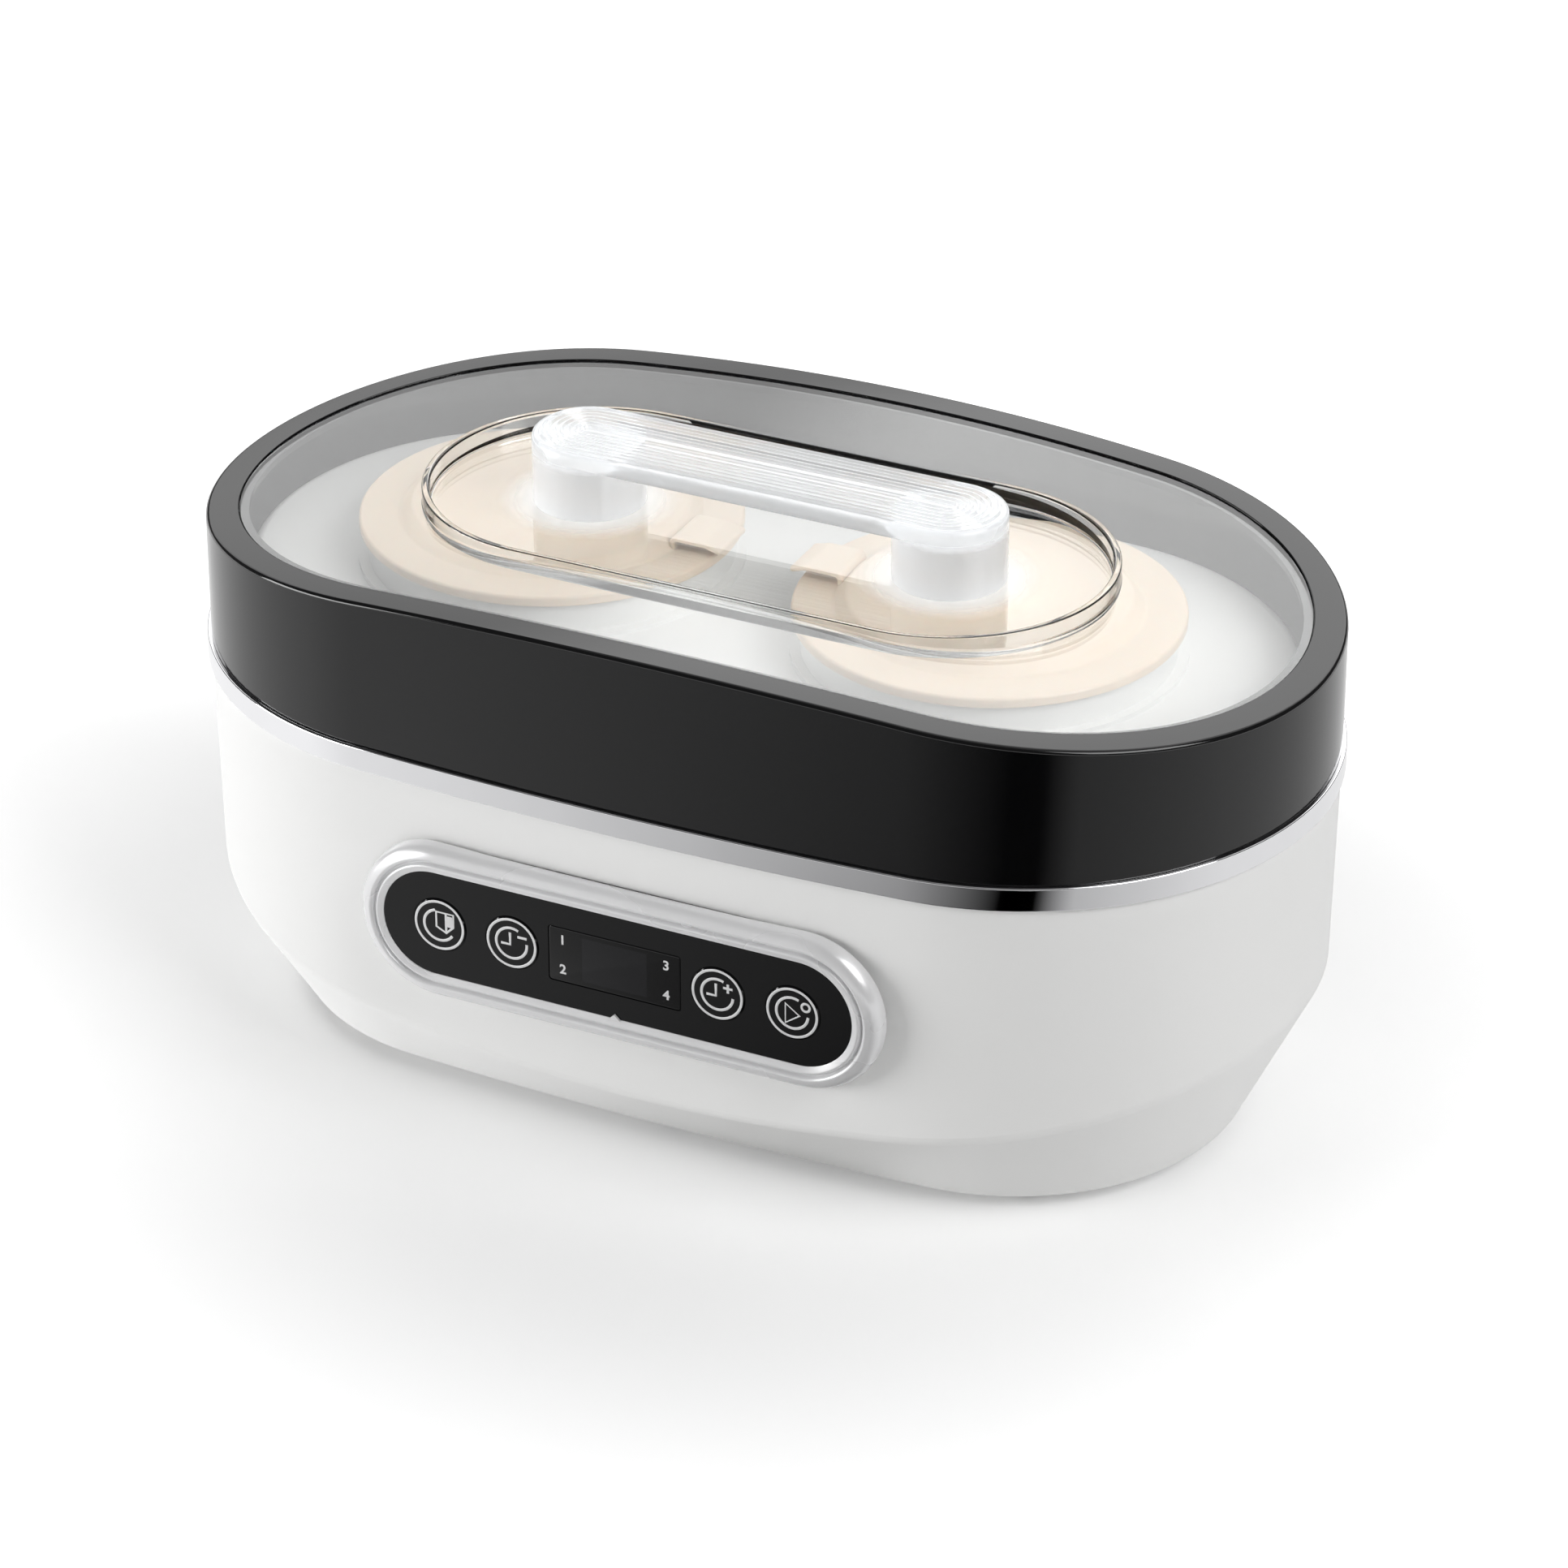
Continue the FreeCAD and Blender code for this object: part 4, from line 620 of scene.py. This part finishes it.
NUMBER_X = 15.7
NUMBER_RISE = 4.6
NUMBER_SIZE = 4.0
NUMBER_BOLD = 0.1
for number, side, rise in (("1", -1, 1), ("2", -1, -1), ("3", 1, 1), ("4", 1, -1)):
    bpy.ops.object.select_all(action="DESELECT")
    place = Vector((side * NUMBER_X, -FASCIA_OUT, PANEL_Z + rise * NUMBER_RISE)) * MM
    bpy.ops.object.text_add(location=place, rotation=(math.pi / 2, 0, 0))
    digit = bpy.context.object
    digit.data.body = number
    digit.data.size = NUMBER_SIZE * MM
    digit.data.align_x = "CENTER"
    digit.data.align_y = "CENTER"
    digit.data.extrude = INK_HIGH / 2 * MM
    digit.data.offset = NUMBER_BOLD * MM
    bpy.ops.object.convert(target="MESH")
    bpy.ops.object.mode_set(mode="EDIT")
    bpy.ops.mesh.select_all(action="SELECT")
    bpy.ops.mesh.dissolve_degenerate(threshold=SAME * MM)
    close_up(digit)
    digit.name = digit.data.name = "number_" + number
    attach(digit, "base")
    paint(silver_ink, digit)


# Trim ring: a bright ring of plastic plated with chromium, clamped between the housing's top edge and the
# liner. A proud band shows outside, with small rounded edges.
TRIM_TOP = 115.6
TRIM_PROUD = 1.2
TRIM_ROUND = 0.45
TRIM_BAND_IN = 0.6
TRIM_FOOT_IN = 3.5
TRIM_FOOT_TOP = HOUSING_TOP + 1.5
trim = sweep_oval("chrome_band", rounded([
    (-TRIM_PROUD, HOUSING_TOP, TRIM_ROUND),
    (-TRIM_PROUD, TRIM_TOP, TRIM_ROUND),
    (TRIM_BAND_IN, TRIM_TOP),
    (TRIM_BAND_IN, TRIM_FOOT_TOP),
    (TRIM_FOOT_IN, TRIM_FOOT_TOP),
    (TRIM_FOOT_IN, HOUSING_TOP),
]))
apply_modifier(trim, "WEIGHTED_NORMAL", {"keep_sharp": True})
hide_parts("chrome_trim_ring")
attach(trim, "base")

# Chrome plate: a bare mirror-like metal with hardly any haze.
chrome = moulded(
    "chrome_plate", ("ECECEE", "F2F2F4"), patch=12, roughness=(0.03, 0.07), grain=(25, 0.004),
    values={"Metallic": 1.0})
paint(chrome, trim)


# Inner liner and wells: the white plastic deck under the lid, snapped into the housing by tongues, and a cup
# that hangs in each of its two holes. Aluminium plates with silicone heating mats close the wells' floors.
# White polypropylene: a little greyer and softer than the housing, with a fine grain from the mould.
white_pp = moulded(
    "white_polypropylene", ("E0E0DE", "E6E6E4"), patch=30, roughness=(0.34, 0.42), grain=(0.6, 0.01),
    values={"IOR": 1.49})
paint(white_pp, "inner_liner", "well_left", "well_right")
# Rolled aluminium: a pale, slightly cloudy metal.
aluminium = moulded(
    "rolled_aluminium", ("C4C6C8", "D0D2D4"), patch=3, roughness=(0.25, 0.4), grain=(0.5, 0.01),
    values={"Metallic": 1.0})
paint(
    aluminium, "heater_plate_left", "heater_plate_right",
    "temperature_sensor_left", "temperature_sensor_right")
# Silicone mat: brick red and matt, with the weave of its cloth pressed into it.
heat_mat = moulded(
    "red_silicone_mat", ("6E2A1F", "7E3326"), patch=3, roughness=(0.5, 0.65), grain=(0.6, 0.05),
    values={"IOR": 1.42})
paint(heat_mat, "heater_mat_left", "heater_mat_right")


# Bowls and caps: cream food-grade polypropylene. Each bowl is a tapered cup that hangs in its well by its
# flange. Its cap has a raised middle, a plug with a silicone seal, and a bent finger tab towards the other
# cap.
BOWL_X = 67.0
BOWL_BASE = 46.7
BOWL_RIM = 147.5
BOWL_IN_LOW = 43.0
BOWL_IN_TOP = 47.0
BOWL_WALL = 1.8
FLANGE_OUT = 52.0
FLANGE_LOW = BOWL_RIM - 1.5
FOOT_RING = BOWL_IN_LOW - 9.0
FOOT_RING_DEEP = 0.8
CAP_OUT = 54.0
CAP_TOP = 149.3
CAP_LOW = 146.3
CAP_MIDDLE = 152.8
CAP_WALL = 1.8
CAP_SEAT = 0.05
PLATEAU = 40.0
PLUG_OUT = 45.6
PLUG_IN = PLUG_OUT - 2.0
PLUG_LOW = BOWL_RIM - 7.0
TAB_ROOT = 40.5
TAB_TIP = 56.5
TAB_TOP = 153.3
TAB_THICK = 1.6
TAB_WIDTH = 16.0
TAB_BEND = TAB_TIP - 5.0
TAB_DROP = 1.3
TAB_SUNK = 0.3
TAB_BEVEL = 0.4
TURN_STEPS = 96


def turn_round(name, section, x, closed):
    """Spins a section of (radius, height) points round the upright line at x."""
    spots = [Vector((x + radius, 0, height)) * MM for radius, height in section]
    piece = start_point(name, spots[0])
    extrude_along(spots, closed)
    bpy.ops.mesh.spin(steps=TURN_STEPS, angle=-2 * math.pi, center=(x * MM, 0, 0), axis=(0, 0, 1))
    return close_up(piece)


# Natural polypropylene, tinted cream: satin, slightly waxy, and a little light passes into it.
cream = moulded(
    "cream_polypropylene", ("DDCAB3", "E4D4C0"), patch=30, roughness=(0.32, 0.42), grain=(0.7, 0.006),
    values={"IOR": 1.49, "Subsurface Weight": 0.15, "Subsurface Scale": 2 * MM})
# Seal silicone: soft, whitish and satin.
seal_silicone = moulded(
    "white_silicone", ("D6D6D2", "E0E0DC"), patch=4, roughness=(0.35, 0.5), grain=(0.4, 0.01),
    values={"IOR": 1.41})
bowl = turn_round("cream_bowl_left", rounded([
    (0, BOWL_BASE + BOWL_WALL),
    (BOWL_IN_LOW, BOWL_BASE + BOWL_WALL, 9),
    (BOWL_IN_TOP, BOWL_RIM, 0.6),
    (FLANGE_OUT, BOWL_RIM, 0.6),
    (FLANGE_OUT, FLANGE_LOW, 0.5),
    (BOWL_IN_TOP + BOWL_WALL, FLANGE_LOW, 0.8),
    (BOWL_IN_LOW + BOWL_WALL, BOWL_BASE, 7),
    (FOOT_RING, BOWL_BASE, 0.5),
    (FOOT_RING - 0.5, BOWL_BASE + FOOT_RING_DEEP, 0.3),
    (0, BOWL_BASE + FOOT_RING_DEEP),
]), -BOWL_X, False)
cap = turn_round("cream_cap_left", rounded([
    (0, CAP_MIDDLE),
    (PLATEAU - 1, CAP_MIDDLE, 2.2),
    (PLATEAU + 2.5, CAP_TOP, 2.2),
    (CAP_OUT, CAP_TOP, 0.9),
    (CAP_OUT, CAP_LOW, 0.4),
    (FLANGE_OUT + 0.3, CAP_LOW),
    (FLANGE_OUT + 0.3, BOWL_RIM + CAP_SEAT),
    (PLUG_OUT, BOWL_RIM + CAP_SEAT),
    (PLUG_OUT, PLUG_LOW, 0.6),
    (PLUG_IN, PLUG_LOW, 0.6),
    (PLUG_IN, BOWL_RIM),
    (PLATEAU, BOWL_RIM),
    (PLATEAU - 2.5, CAP_MIDDLE - CAP_WALL),
    (0, CAP_MIDDLE - CAP_WALL),
]), -BOWL_X, False)
under = TAB_TOP - TAB_THICK
profile = rounded([
    (TAB_ROOT, CAP_TOP - TAB_SUNK),
    (TAB_ROOT, TAB_TOP, 2.2),
    (TAB_BEND, TAB_TOP, 6),
    (TAB_TIP, TAB_TOP - TAB_DROP, 0.6),
    (TAB_TIP - 0.3, under - TAB_DROP, 0.5),
    (TAB_BEND, under, 4.5),
    (TAB_ROOT + TAB_THICK, under, 0.8),
    (TAB_ROOT + TAB_THICK, CAP_TOP - TAB_SUNK),
])
outline = [(reach - BOWL_X, height) for reach, height in profile]
tab = flat_plate("finger_tab", outline, -TAB_WIDTH / 2, TAB_WIDTH / 2)
apply_modifier(tab, "BEVEL", {"width": TAB_BEVEL * MM, "segments": 2, "limit_method": "ANGLE"})
cap = join_pieces("cream_cap_left", [cap, tab])
for node, piece in (("bowl", bowl), ("cap", cap)):
    twin = copy_piece(piece, "cream_" + node + "_right", (0, 0, 0), math.pi)
    for hand, each in (("_left", piece), ("_right", twin)):
        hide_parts(node + hand)
        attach(each, node + hand)
        paint(cream, each)
paint(seal_silicone, "cap_seal_left", "cap_seal_right")


# Lid ring: the gloss black band of the lid. Its flat top follows the lid's arch, and a ledge inside it
# carries the window. The ring stands on the trim by its own weight.
CROWN = 162.5
ARCH_RADIUS = 1112.8
RING_WALL = 3.0
RING_TOP = 9.3
LEDGE = 12.3
LEDGE_TOP = CROWN - 2.9
LEDGE_LOW = CROWN - 4.9
ARCHED_FROM = TRIM_TOP + 10.0
ring = sweep_oval("black_lid_ring", rounded([
    (0, TRIM_TOP, 0.35),
    (0, CROWN, 1.2),
    (RING_TOP, CROWN, 0.4),
    (RING_TOP, LEDGE_TOP),
    (LEDGE, LEDGE_TOP),
    (LEDGE, LEDGE_LOW),
    (RING_WALL, LEDGE_LOW),
    (RING_WALL, TRIM_TOP),
]))


def arch_drop(x):
    """How far the lid's arch lies below its crown at x, in mm."""
    return ARCH_RADIUS - math.sqrt(ARCH_RADIUS ** 2 - x ** 2)


for vertex in ring.data.vertices:
    if vertex.co.z > ARCHED_FROM * MM:
        vertex.co.z -= arch_drop(vertex.co.x / MM) * MM
apply_modifier(ring, "WEIGHTED_NORMAL", {"keep_sharp": True})
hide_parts("lid_ring")
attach(ring, "lid")

# Gloss black ABS: the same plastic as the panel's, with a slightly stronger shine.
black_abs = moulded(
    "gloss_black_abs", ("070708", "0B0B0C"), patch=40, roughness=(0.07, 0.11), grain=(30, 0.01),
    values={"IOR": 1.5})
paint(black_abs, ring)


# Lid window: clear SAN, moulded in one piece: an arched sheet on the ring's ledge with a sunk tray for the
# fingers, whose rim is flat and so stands out of the sheet towards both ends.
SHEET_EDGE = 9.6
SHEET_TOP = CROWN - 0.6
SHEET_LOW = SHEET_TOP - 2.2
TRAY_STRAIGHT = 53.7
TRAY_ROUND = 48.0
TRAY_WALL = 2.2
TRAY_FLOOR = 157.0
FLOOR_EDGE = 2.0
SHEET_CUTS = 8
HANDLE_STRAIGHT = 55.0
FROST_FULL = 14.0
FROST_END = 27.0
FROST_CLEARNESS = 0.4
up = Vector((0, 0, 1))
inside = TRAY_ROUND - TRAY_WALL
tray_top = sweep_stadium("tray_top", rounded([
    (TRAY_ROUND, SHEET_TOP),
    (TRAY_ROUND, CROWN, 0.5),
    (inside, CROWN, 0.9),
    (inside, TRAY_FLOOR, 0.7),
    (inside - FLOOR_EDGE, TRAY_FLOOR),
]), TRAY_STRAIGHT, (0, 0, 0), up, False)
tray_low = sweep_stadium("tray_low", rounded([
    (TRAY_ROUND, SHEET_LOW),
    (TRAY_ROUND, TRAY_FLOOR - TRAY_WALL, 0.8),
    (inside - FLOOR_EDGE, TRAY_FLOOR - TRAY_WALL),
]), TRAY_STRAIGHT, (0, 0, 0), up, False)
rim = sweep_oval("sheet_edge", [(SHEET_EDGE, SHEET_TOP), (SHEET_EDGE, SHEET_LOW)], False)
clear_lid = join_pieces("clear_window", [tray_top, tray_low, rim])
for height in (SHEET_TOP, SHEET_LOW):
    select_edges(clear_lid, lambda spot: abs(spot.z - height) < SAME)
    bpy.ops.mesh.bridge_edge_loops(number_cuts=SHEET_CUTS, interpolation="LINEAR")
    bpy.ops.object.mode_set(mode="OBJECT")
for height in (TRAY_FLOOR, TRAY_FLOOR - TRAY_WALL):
    select_edges(clear_lid, lambda spot: abs(spot.z - height) < SAME and math.hypot(
        max(abs(spot.x) - TRAY_STRAIGHT, 0), spot.y) < inside - FLOOR_EDGE + SLACK)
    bpy.ops.mesh.edge_face_add()
    bpy.ops.object.mode_set(mode="OBJECT")
for vertex in clear_lid.data.vertices:
    in_sheet = min(abs(vertex.co.z / MM - SHEET_TOP), abs(vertex.co.z / MM - SHEET_LOW)) < SAME
    if in_sheet:
        vertex.co.z -= arch_drop(vertex.co.x / MM) * MM
bpy.ops.object.mode_set(mode="EDIT")
close_up(clear_lid)
apply_modifier(clear_lid, "WEIGHTED_NORMAL", {"keep_sharp": True})
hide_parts("lid_window")
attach(clear_lid, "lid")


def clear_plastic(name, roughness):
    """A clear moulding with faint flow marks, which lets light straight through to what it covers."""
    values = {"Base Color": linear("FCFDFD"), "IOR": 1.57, "Transmission Weight": 1.0}
    material, tree, shader, spot = new_material(name, values)
    flow_mark = 25.0
    flow = {"Scale": 1 / (flow_mark * MM), "Detail": 1.0}
    flow = add_node(tree, "ShaderNodeTexNoise", flow, {"Vector": spot})
    gloss = {"To Min": roughness[0], "To Max": roughness[1]}
    gloss = add_node(tree, "ShaderNodeMapRange", gloss, {"Value": flow.outputs["Fac"]})
    tree.links.new(gloss.outputs["Result"], shader.inputs["Roughness"])
    path = add_node(tree, "ShaderNodeLightPath", {}, {})
    through = add_node(tree, "ShaderNodeBsdfTransparent", {"Color": linear("F4F4F4")}, {})
    both = {0: path.outputs["Is Shadow Ray"], 1: shader.outputs["BSDF"], 2: through.outputs["BSDF"]}
    mix = add_node(tree, "ShaderNodeMixShader", {}, both)
    tree.links.new(mix.outputs["Shader"], tree.nodes["Material Output"].inputs["Surface"])
    return material, tree, shader, spot


# Clear SAN: water-clear and polished on both faces, bright where its edges gather light. Where the handle's
# two posts are welded on, the tray is frosted, so it looks white round their feet.
clear_san, tree, shader, spot = clear_plastic("clear_san", (0.0, 0.02))
in_plan = {"operation": "MULTIPLY", 1: (1, 1, 0)}
in_plan = add_node(tree, "ShaderNodeVectorMath", in_plan, {0: spot}).outputs[0]
one_side = add_node(tree, "ShaderNodeVectorMath", {"operation": "ABSOLUTE"}, {0: in_plan}).outputs[0]
from_post = {"operation": "DISTANCE", 1: (HANDLE_STRAIGHT * MM, 0, 0)}
from_post = add_node(tree, "ShaderNodeVectorMath", from_post, {0: one_side}).outputs["Value"]
clearing = {
    "interpolation_type": "SMOOTHSTEP", "From Min": FROST_FULL * MM, "From Max": FROST_END * MM,
    "To Min": FROST_CLEARNESS, "To Max": 1.0}
clearing = add_node(tree, "ShaderNodeMapRange", clearing, {"Value": from_post}).outputs["Result"]
tree.links.new(clearing, shader.inputs["Transmission Weight"])
paint(clear_san, clear_lid)


# Lid handle: a clear grip bar with fine ribs along its top, on two posts welded into the tray. Bar and posts
# are one moulding; each post is a hair wider than the bar's round end, so that the two join cleanly.
HANDLE_ROUND = 16.0
HANDLE_TOP = 178.5
HANDLE_LOW = 173.0
RIBS = 7
RIB_PITCH = 1.9
RIB_HIGH = 0.75
RIB_FLANK = 0.45
FIRST_RIB = HANDLE_ROUND - 2.4
BAR_MIDDLE = 0.6
POST_OUT = HANDLE_ROUND + 0.03
POST_LOW = TRAY_FLOOR + 0.05
POST_TOP = HANDLE_LOW + 0.5
BAR_CLEARNESS = 0.72
POST_CLEARNESS = 0.1
FROST_FADE = 2.0
rib_foot = HANDLE_TOP - RIB_HIGH
ridges = []
for step in range(RIBS):
    crest = FIRST_RIB - step * RIB_PITCH
    ridges += [(crest + RIB_FLANK, rib_foot), (crest, HANDLE_TOP)]
    ridges += [(crest - RIB_FLANK, HANDLE_TOP), (crest - 2 * RIB_FLANK, rib_foot)]
bar = sweep_stadium("clear_handle", rounded([
    (BAR_MIDDLE, HANDLE_LOW),
    (HANDLE_ROUND, HANDLE_LOW, 0.8),
    (HANDLE_ROUND, rib_foot, 1.6),
] + ridges + [(BAR_MIDDLE, rib_foot)]), HANDLE_STRAIGHT, (0, 0, 0), up, False)
for height in (HANDLE_LOW, rib_foot):
    select_edges(bar, lambda spot: abs(spot.z - height) < SAME and abs(spot.y) < BAR_MIDDLE + SAME)
    bpy.ops.mesh.edge_face_add()
    bpy.ops.object.mode_set(mode="OBJECT")
post = turn_round("post", rounded([
    (0, POST_LOW),
    (POST_OUT, POST_LOW, 0.3),
    (POST_OUT, POST_TOP),
    (0, POST_TOP),
]), HANDLE_STRAIGHT, False)
for each in (copy_piece(post, "far_post", (0, 0, 0), math.pi), post):
    apply_modifier(bar, "BOOLEAN", {"object": each, "operation": "UNION", "solver": "EXACT"})
    bpy.data.objects.remove(each)
bpy.ops.object.select_all(action="DESELECT")
bar.select_set(True)
bpy.ops.object.shade_smooth_by_angle(angle=math.radians(SMOOTH_ANGLE))
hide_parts("lid_handle")
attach(bar, "lid")

# The same clear SAN in the bar; the posts come from a frosted part of the mould, so they look milky white.
frosted_san, tree, shader, spot = clear_plastic("clear_and_frosted_san", (0.08, 0.12))
shader.inputs["Base Color"].default_value = linear("F6F7F8")
height = add_node(tree, "ShaderNodeSeparateXYZ", {}, {"Vector": spot}).outputs["Z"]
clearing = {
    "From Min": (HANDLE_LOW - FROST_FADE) * MM, "From Max": HANDLE_LOW * MM,
    "To Min": POST_CLEARNESS, "To Max": BAR_CLEARNESS}
clearing = add_node(tree, "ShaderNodeMapRange", clearing, {"Value": height})
tree.links.new(clearing.outputs["Result"], shader.inputs["Transmission Weight"])
paint(frosted_san, bar)


# Studio, in metres: a pale floor and four large soft lamps, above, behind, left and right. The white of
# the floor and of the world is what the camera, metal and clear pieces see. The floor's white is painted
# fainter close to the object: a painted shade round its foot, added on top of its real shadow.
FLOOR_SIZE = 14
GLOW_STARTS = 0.12
GLOW_FULL = 0.34
PAINTED_SHADE_GLOW = 0.15
GLOW_FAR = 0.6
LAMPS_FACE = (0, 0, 0.1)
bpy.ops.object.select_all(action="DESELECT")
bpy.ops.mesh.primitive_plane_add(size=FLOOR_SIZE, location=(0, 0, 0))
floor = bpy.context.object
floor.name = "studio_floor"
floor_values = {
    "Base Color": linear("F8F8F8"), "Roughness": 0.9, "Specular IOR Level": 0.0,
    "Emission Color": linear("FFFFFF")}
floor_paint, tree, shader, spot = new_material("pale_studio_floor", floor_values)


def seen_rays(tree, otherwise, seen):
    """One value for what the camera, gloss and clear pieces see, and another for the light that falls."""
    light = add_node(tree, "ShaderNodeLightPath", {}, {}).outputs
    both = {0: light["Is Camera Ray"], 1: light["Is Glossy Ray"]}
    both = add_node(tree, "ShaderNodeMath", {"operation": "ADD"}, both).outputs[0]
    every = {0: both, 1: light["Is Transmission Ray"]}
    every = add_node(tree, "ShaderNodeMath", {"operation": "ADD", "use_clamp": True}, every).outputs[0]
    straight = {"operation": "LESS_THAN", 1: 0.5}
    straight = add_node(tree, "ShaderNodeMath", straight, {0: light["Diffuse Depth"]}).outputs[0]
    both = {0: every, 1: straight}
    looked_at = add_node(tree, "ShaderNodeMath", {"operation": "MULTIPLY"}, both).outputs[0]
    choice = {"To Min": otherwise, "To Max": seen}
    return add_node(tree, "ShaderNodeMapRange", choice, {"Value": looked_at}).outputs["Result"]


# Painted shade: the floor's seen white is fainter close to the object, fading in from GLOW_STARTS to
# GLOW_FULL metres out.
far_off = add_node(tree, "ShaderNodeVectorMath", {"operation": "LENGTH"}, {0: spot}).outputs["Value"]
glow_with_painted_shade = {
    "interpolation_type": "SMOOTHSTEP", "From Min": GLOW_STARTS, "From Max": GLOW_FULL,
    "To Min": PAINTED_SHADE_GLOW, "To Max": GLOW_FAR}
glow_with_painted_shade = add_node(tree, "ShaderNodeMapRange", glow_with_painted_shade, {"Value": far_off}).outputs["Result"]
strength = {0: seen_rays(tree, 0.0, 1.0), 1: glow_with_painted_shade}
strength = add_node(tree, "ShaderNodeMath", {"operation": "MULTIPLY"}, strength).outputs[0]
tree.links.new(strength, shader.inputs["Emission Strength"])
paint(floor_paint, floor)
floor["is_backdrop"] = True


def soft_lamp(name, place, width, height, power):
    """A rectangular soft lamp at place, of a power in watts, that faces the object."""
    bpy.ops.object.light_add(type="AREA", location=place)
    lamp = bpy.context.object
    lamp.name = name
    lamp.data.shape = "RECTANGLE"
    lamp.data.size = width
    lamp.data.size_y = height
    lamp.data.energy = power
    lamp.rotation_euler = (Vector(LAMPS_FACE) - Vector(place)).to_track_quat("-Z", "Y").to_euler()


soft_lamp("lamp_above", (0.1, 0.5, 2.2), width=2.2, height=2.2, power=7)
soft_lamp("lamp_behind", (-0.95, 1.95, 1.4), width=3.6, height=1.4, power=18)
soft_lamp("lamp_left", (-1.78, -1.2, 0.45), width=1.6, height=0.8, power=35)
soft_lamp("lamp_right", (1.75, -0.47, 1.6), width=1.6, height=1.2, power=33)

# A round card on the floor that only polished pieces mirror: black in a narrow stripe at the front right and
# paler towards both sides, so the ring and the chrome band get a dark stripe and soft gradients. Each tone is
# a share of a full turn, counted from the left end round the front, and a brightness.
CARD_RADIUS = 0.6
CARD_LIFT = 0.001
CARD_TONES = ((0.10, 1.0), (0.34, 0.0), (0.365, 0.0), (0.39, 0.5), (0.5, 0.8))
bpy.ops.object.select_all(action="DESELECT")
bpy.ops.mesh.primitive_circle_add(
    vertices=TURN_STEPS, radius=CARD_RADIUS, fill_type="NGON", location=(0, 0, CARD_LIFT))
card = bpy.context.object
card.name = "studio_card"
bpy.ops.object.transform_apply(location=True, rotation=True, scale=True)
for ray in ("camera", "diffuse", "transmission", "shadow"):
    setattr(card, "visible_" + ray, False)
matt_black = {
    "Base Color": linear("000000"), "Roughness": 1.0, "Specular IOR Level": 0.0, "Emission Strength": 1.0}
card_paint, tree, shader, spot = new_material("studio_card_paint", matt_black)
around = add_node(tree, "ShaderNodeTexGradient", {"gradient_type": "RADIAL"}, {"Vector": spot})
tones = add_node(tree, "ShaderNodeValToRGB", {}, {"Fac": around.outputs["Fac"]})
for place, tone in CARD_TONES:
    tones.color_ramp.elements.new(place).color = (tone, tone, tone, 1)
for element in (tones.color_ramp.elements[0], tones.color_ramp.elements[-1]):
    element.color = (1, 1, 1, 1)
tree.links.new(tones.outputs["Color"], shader.inputs["Emission Color"])
paint(card_paint, card)
card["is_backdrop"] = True

# The world is white to the camera and high up behind, where the lid mirrors it, and dim elsewhere.
BRIGHT_SIDE = (-0.06, 0.70, 0.71)
BRIGHT_STARTS = 0.875
BRIGHT_FULL = 0.92
SKY_DIM = 0.12
SKY_FILL = 0.25
world = bpy.data.worlds.new("studio_world")
bpy.context.scene.world = world
world.use_nodes = True
tree = world.node_tree
sky = tree.nodes["Background"]
sky.inputs["Color"].default_value = linear("FFFFFF")
way = add_node(tree, "ShaderNodeTexCoord", {}, {}).outputs["Generated"]
nearness = {"operation": "DOT_PRODUCT", 1: BRIGHT_SIDE}
nearness = add_node(tree, "ShaderNodeVectorMath", nearness, {0: way}).outputs["Value"]
shade = {
    "interpolation_type": "SMOOTHSTEP", "From Min": BRIGHT_STARTS, "From Max": BRIGHT_FULL,
    "To Min": SKY_DIM, "To Max": 1.0}
shade = add_node(tree, "ShaderNodeMapRange", shade, {"Value": nearness}).outputs["Result"]
strength = {0: seen_rays(tree, SKY_FILL, 1.0), 1: shade}
strength = add_node(tree, "ShaderNodeMath", {"operation": "MULTIPLY"}, strength).outputs[0]
looked_at = add_node(tree, "ShaderNodeLightPath", {}, {}).outputs["Is Camera Ray"]
either = {0: strength, 1: looked_at}
strength = add_node(tree, "ShaderNodeMath", {"operation": "MAXIMUM"}, either).outputs[0]
tree.links.new(strength, sky.inputs["Strength"])

# The camera looks down on the object's front from the right, through a long lens.
CAMERA_PLACE = (0.66425, -1.36723, 0.92372)
CAMERA_TILT = 60.93
CAMERA_TURN = 25.70
CAMERA_LENS = 141.78
bpy.ops.object.camera_add(location=CAMERA_PLACE)
camera = bpy.context.object
camera.rotation_euler = (math.radians(CAMERA_TILT), 0, math.radians(CAMERA_TURN))
camera.data.lens = CAMERA_LENS
camera.data.sensor_width = 36
camera.data.shift_x = -0.0026
camera.data.clip_start = 0.05
camera.data.clip_end = 60
bpy.context.scene.camera = camera
bpy.context.scene.view_settings.view_transform = "Standard"

low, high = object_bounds()
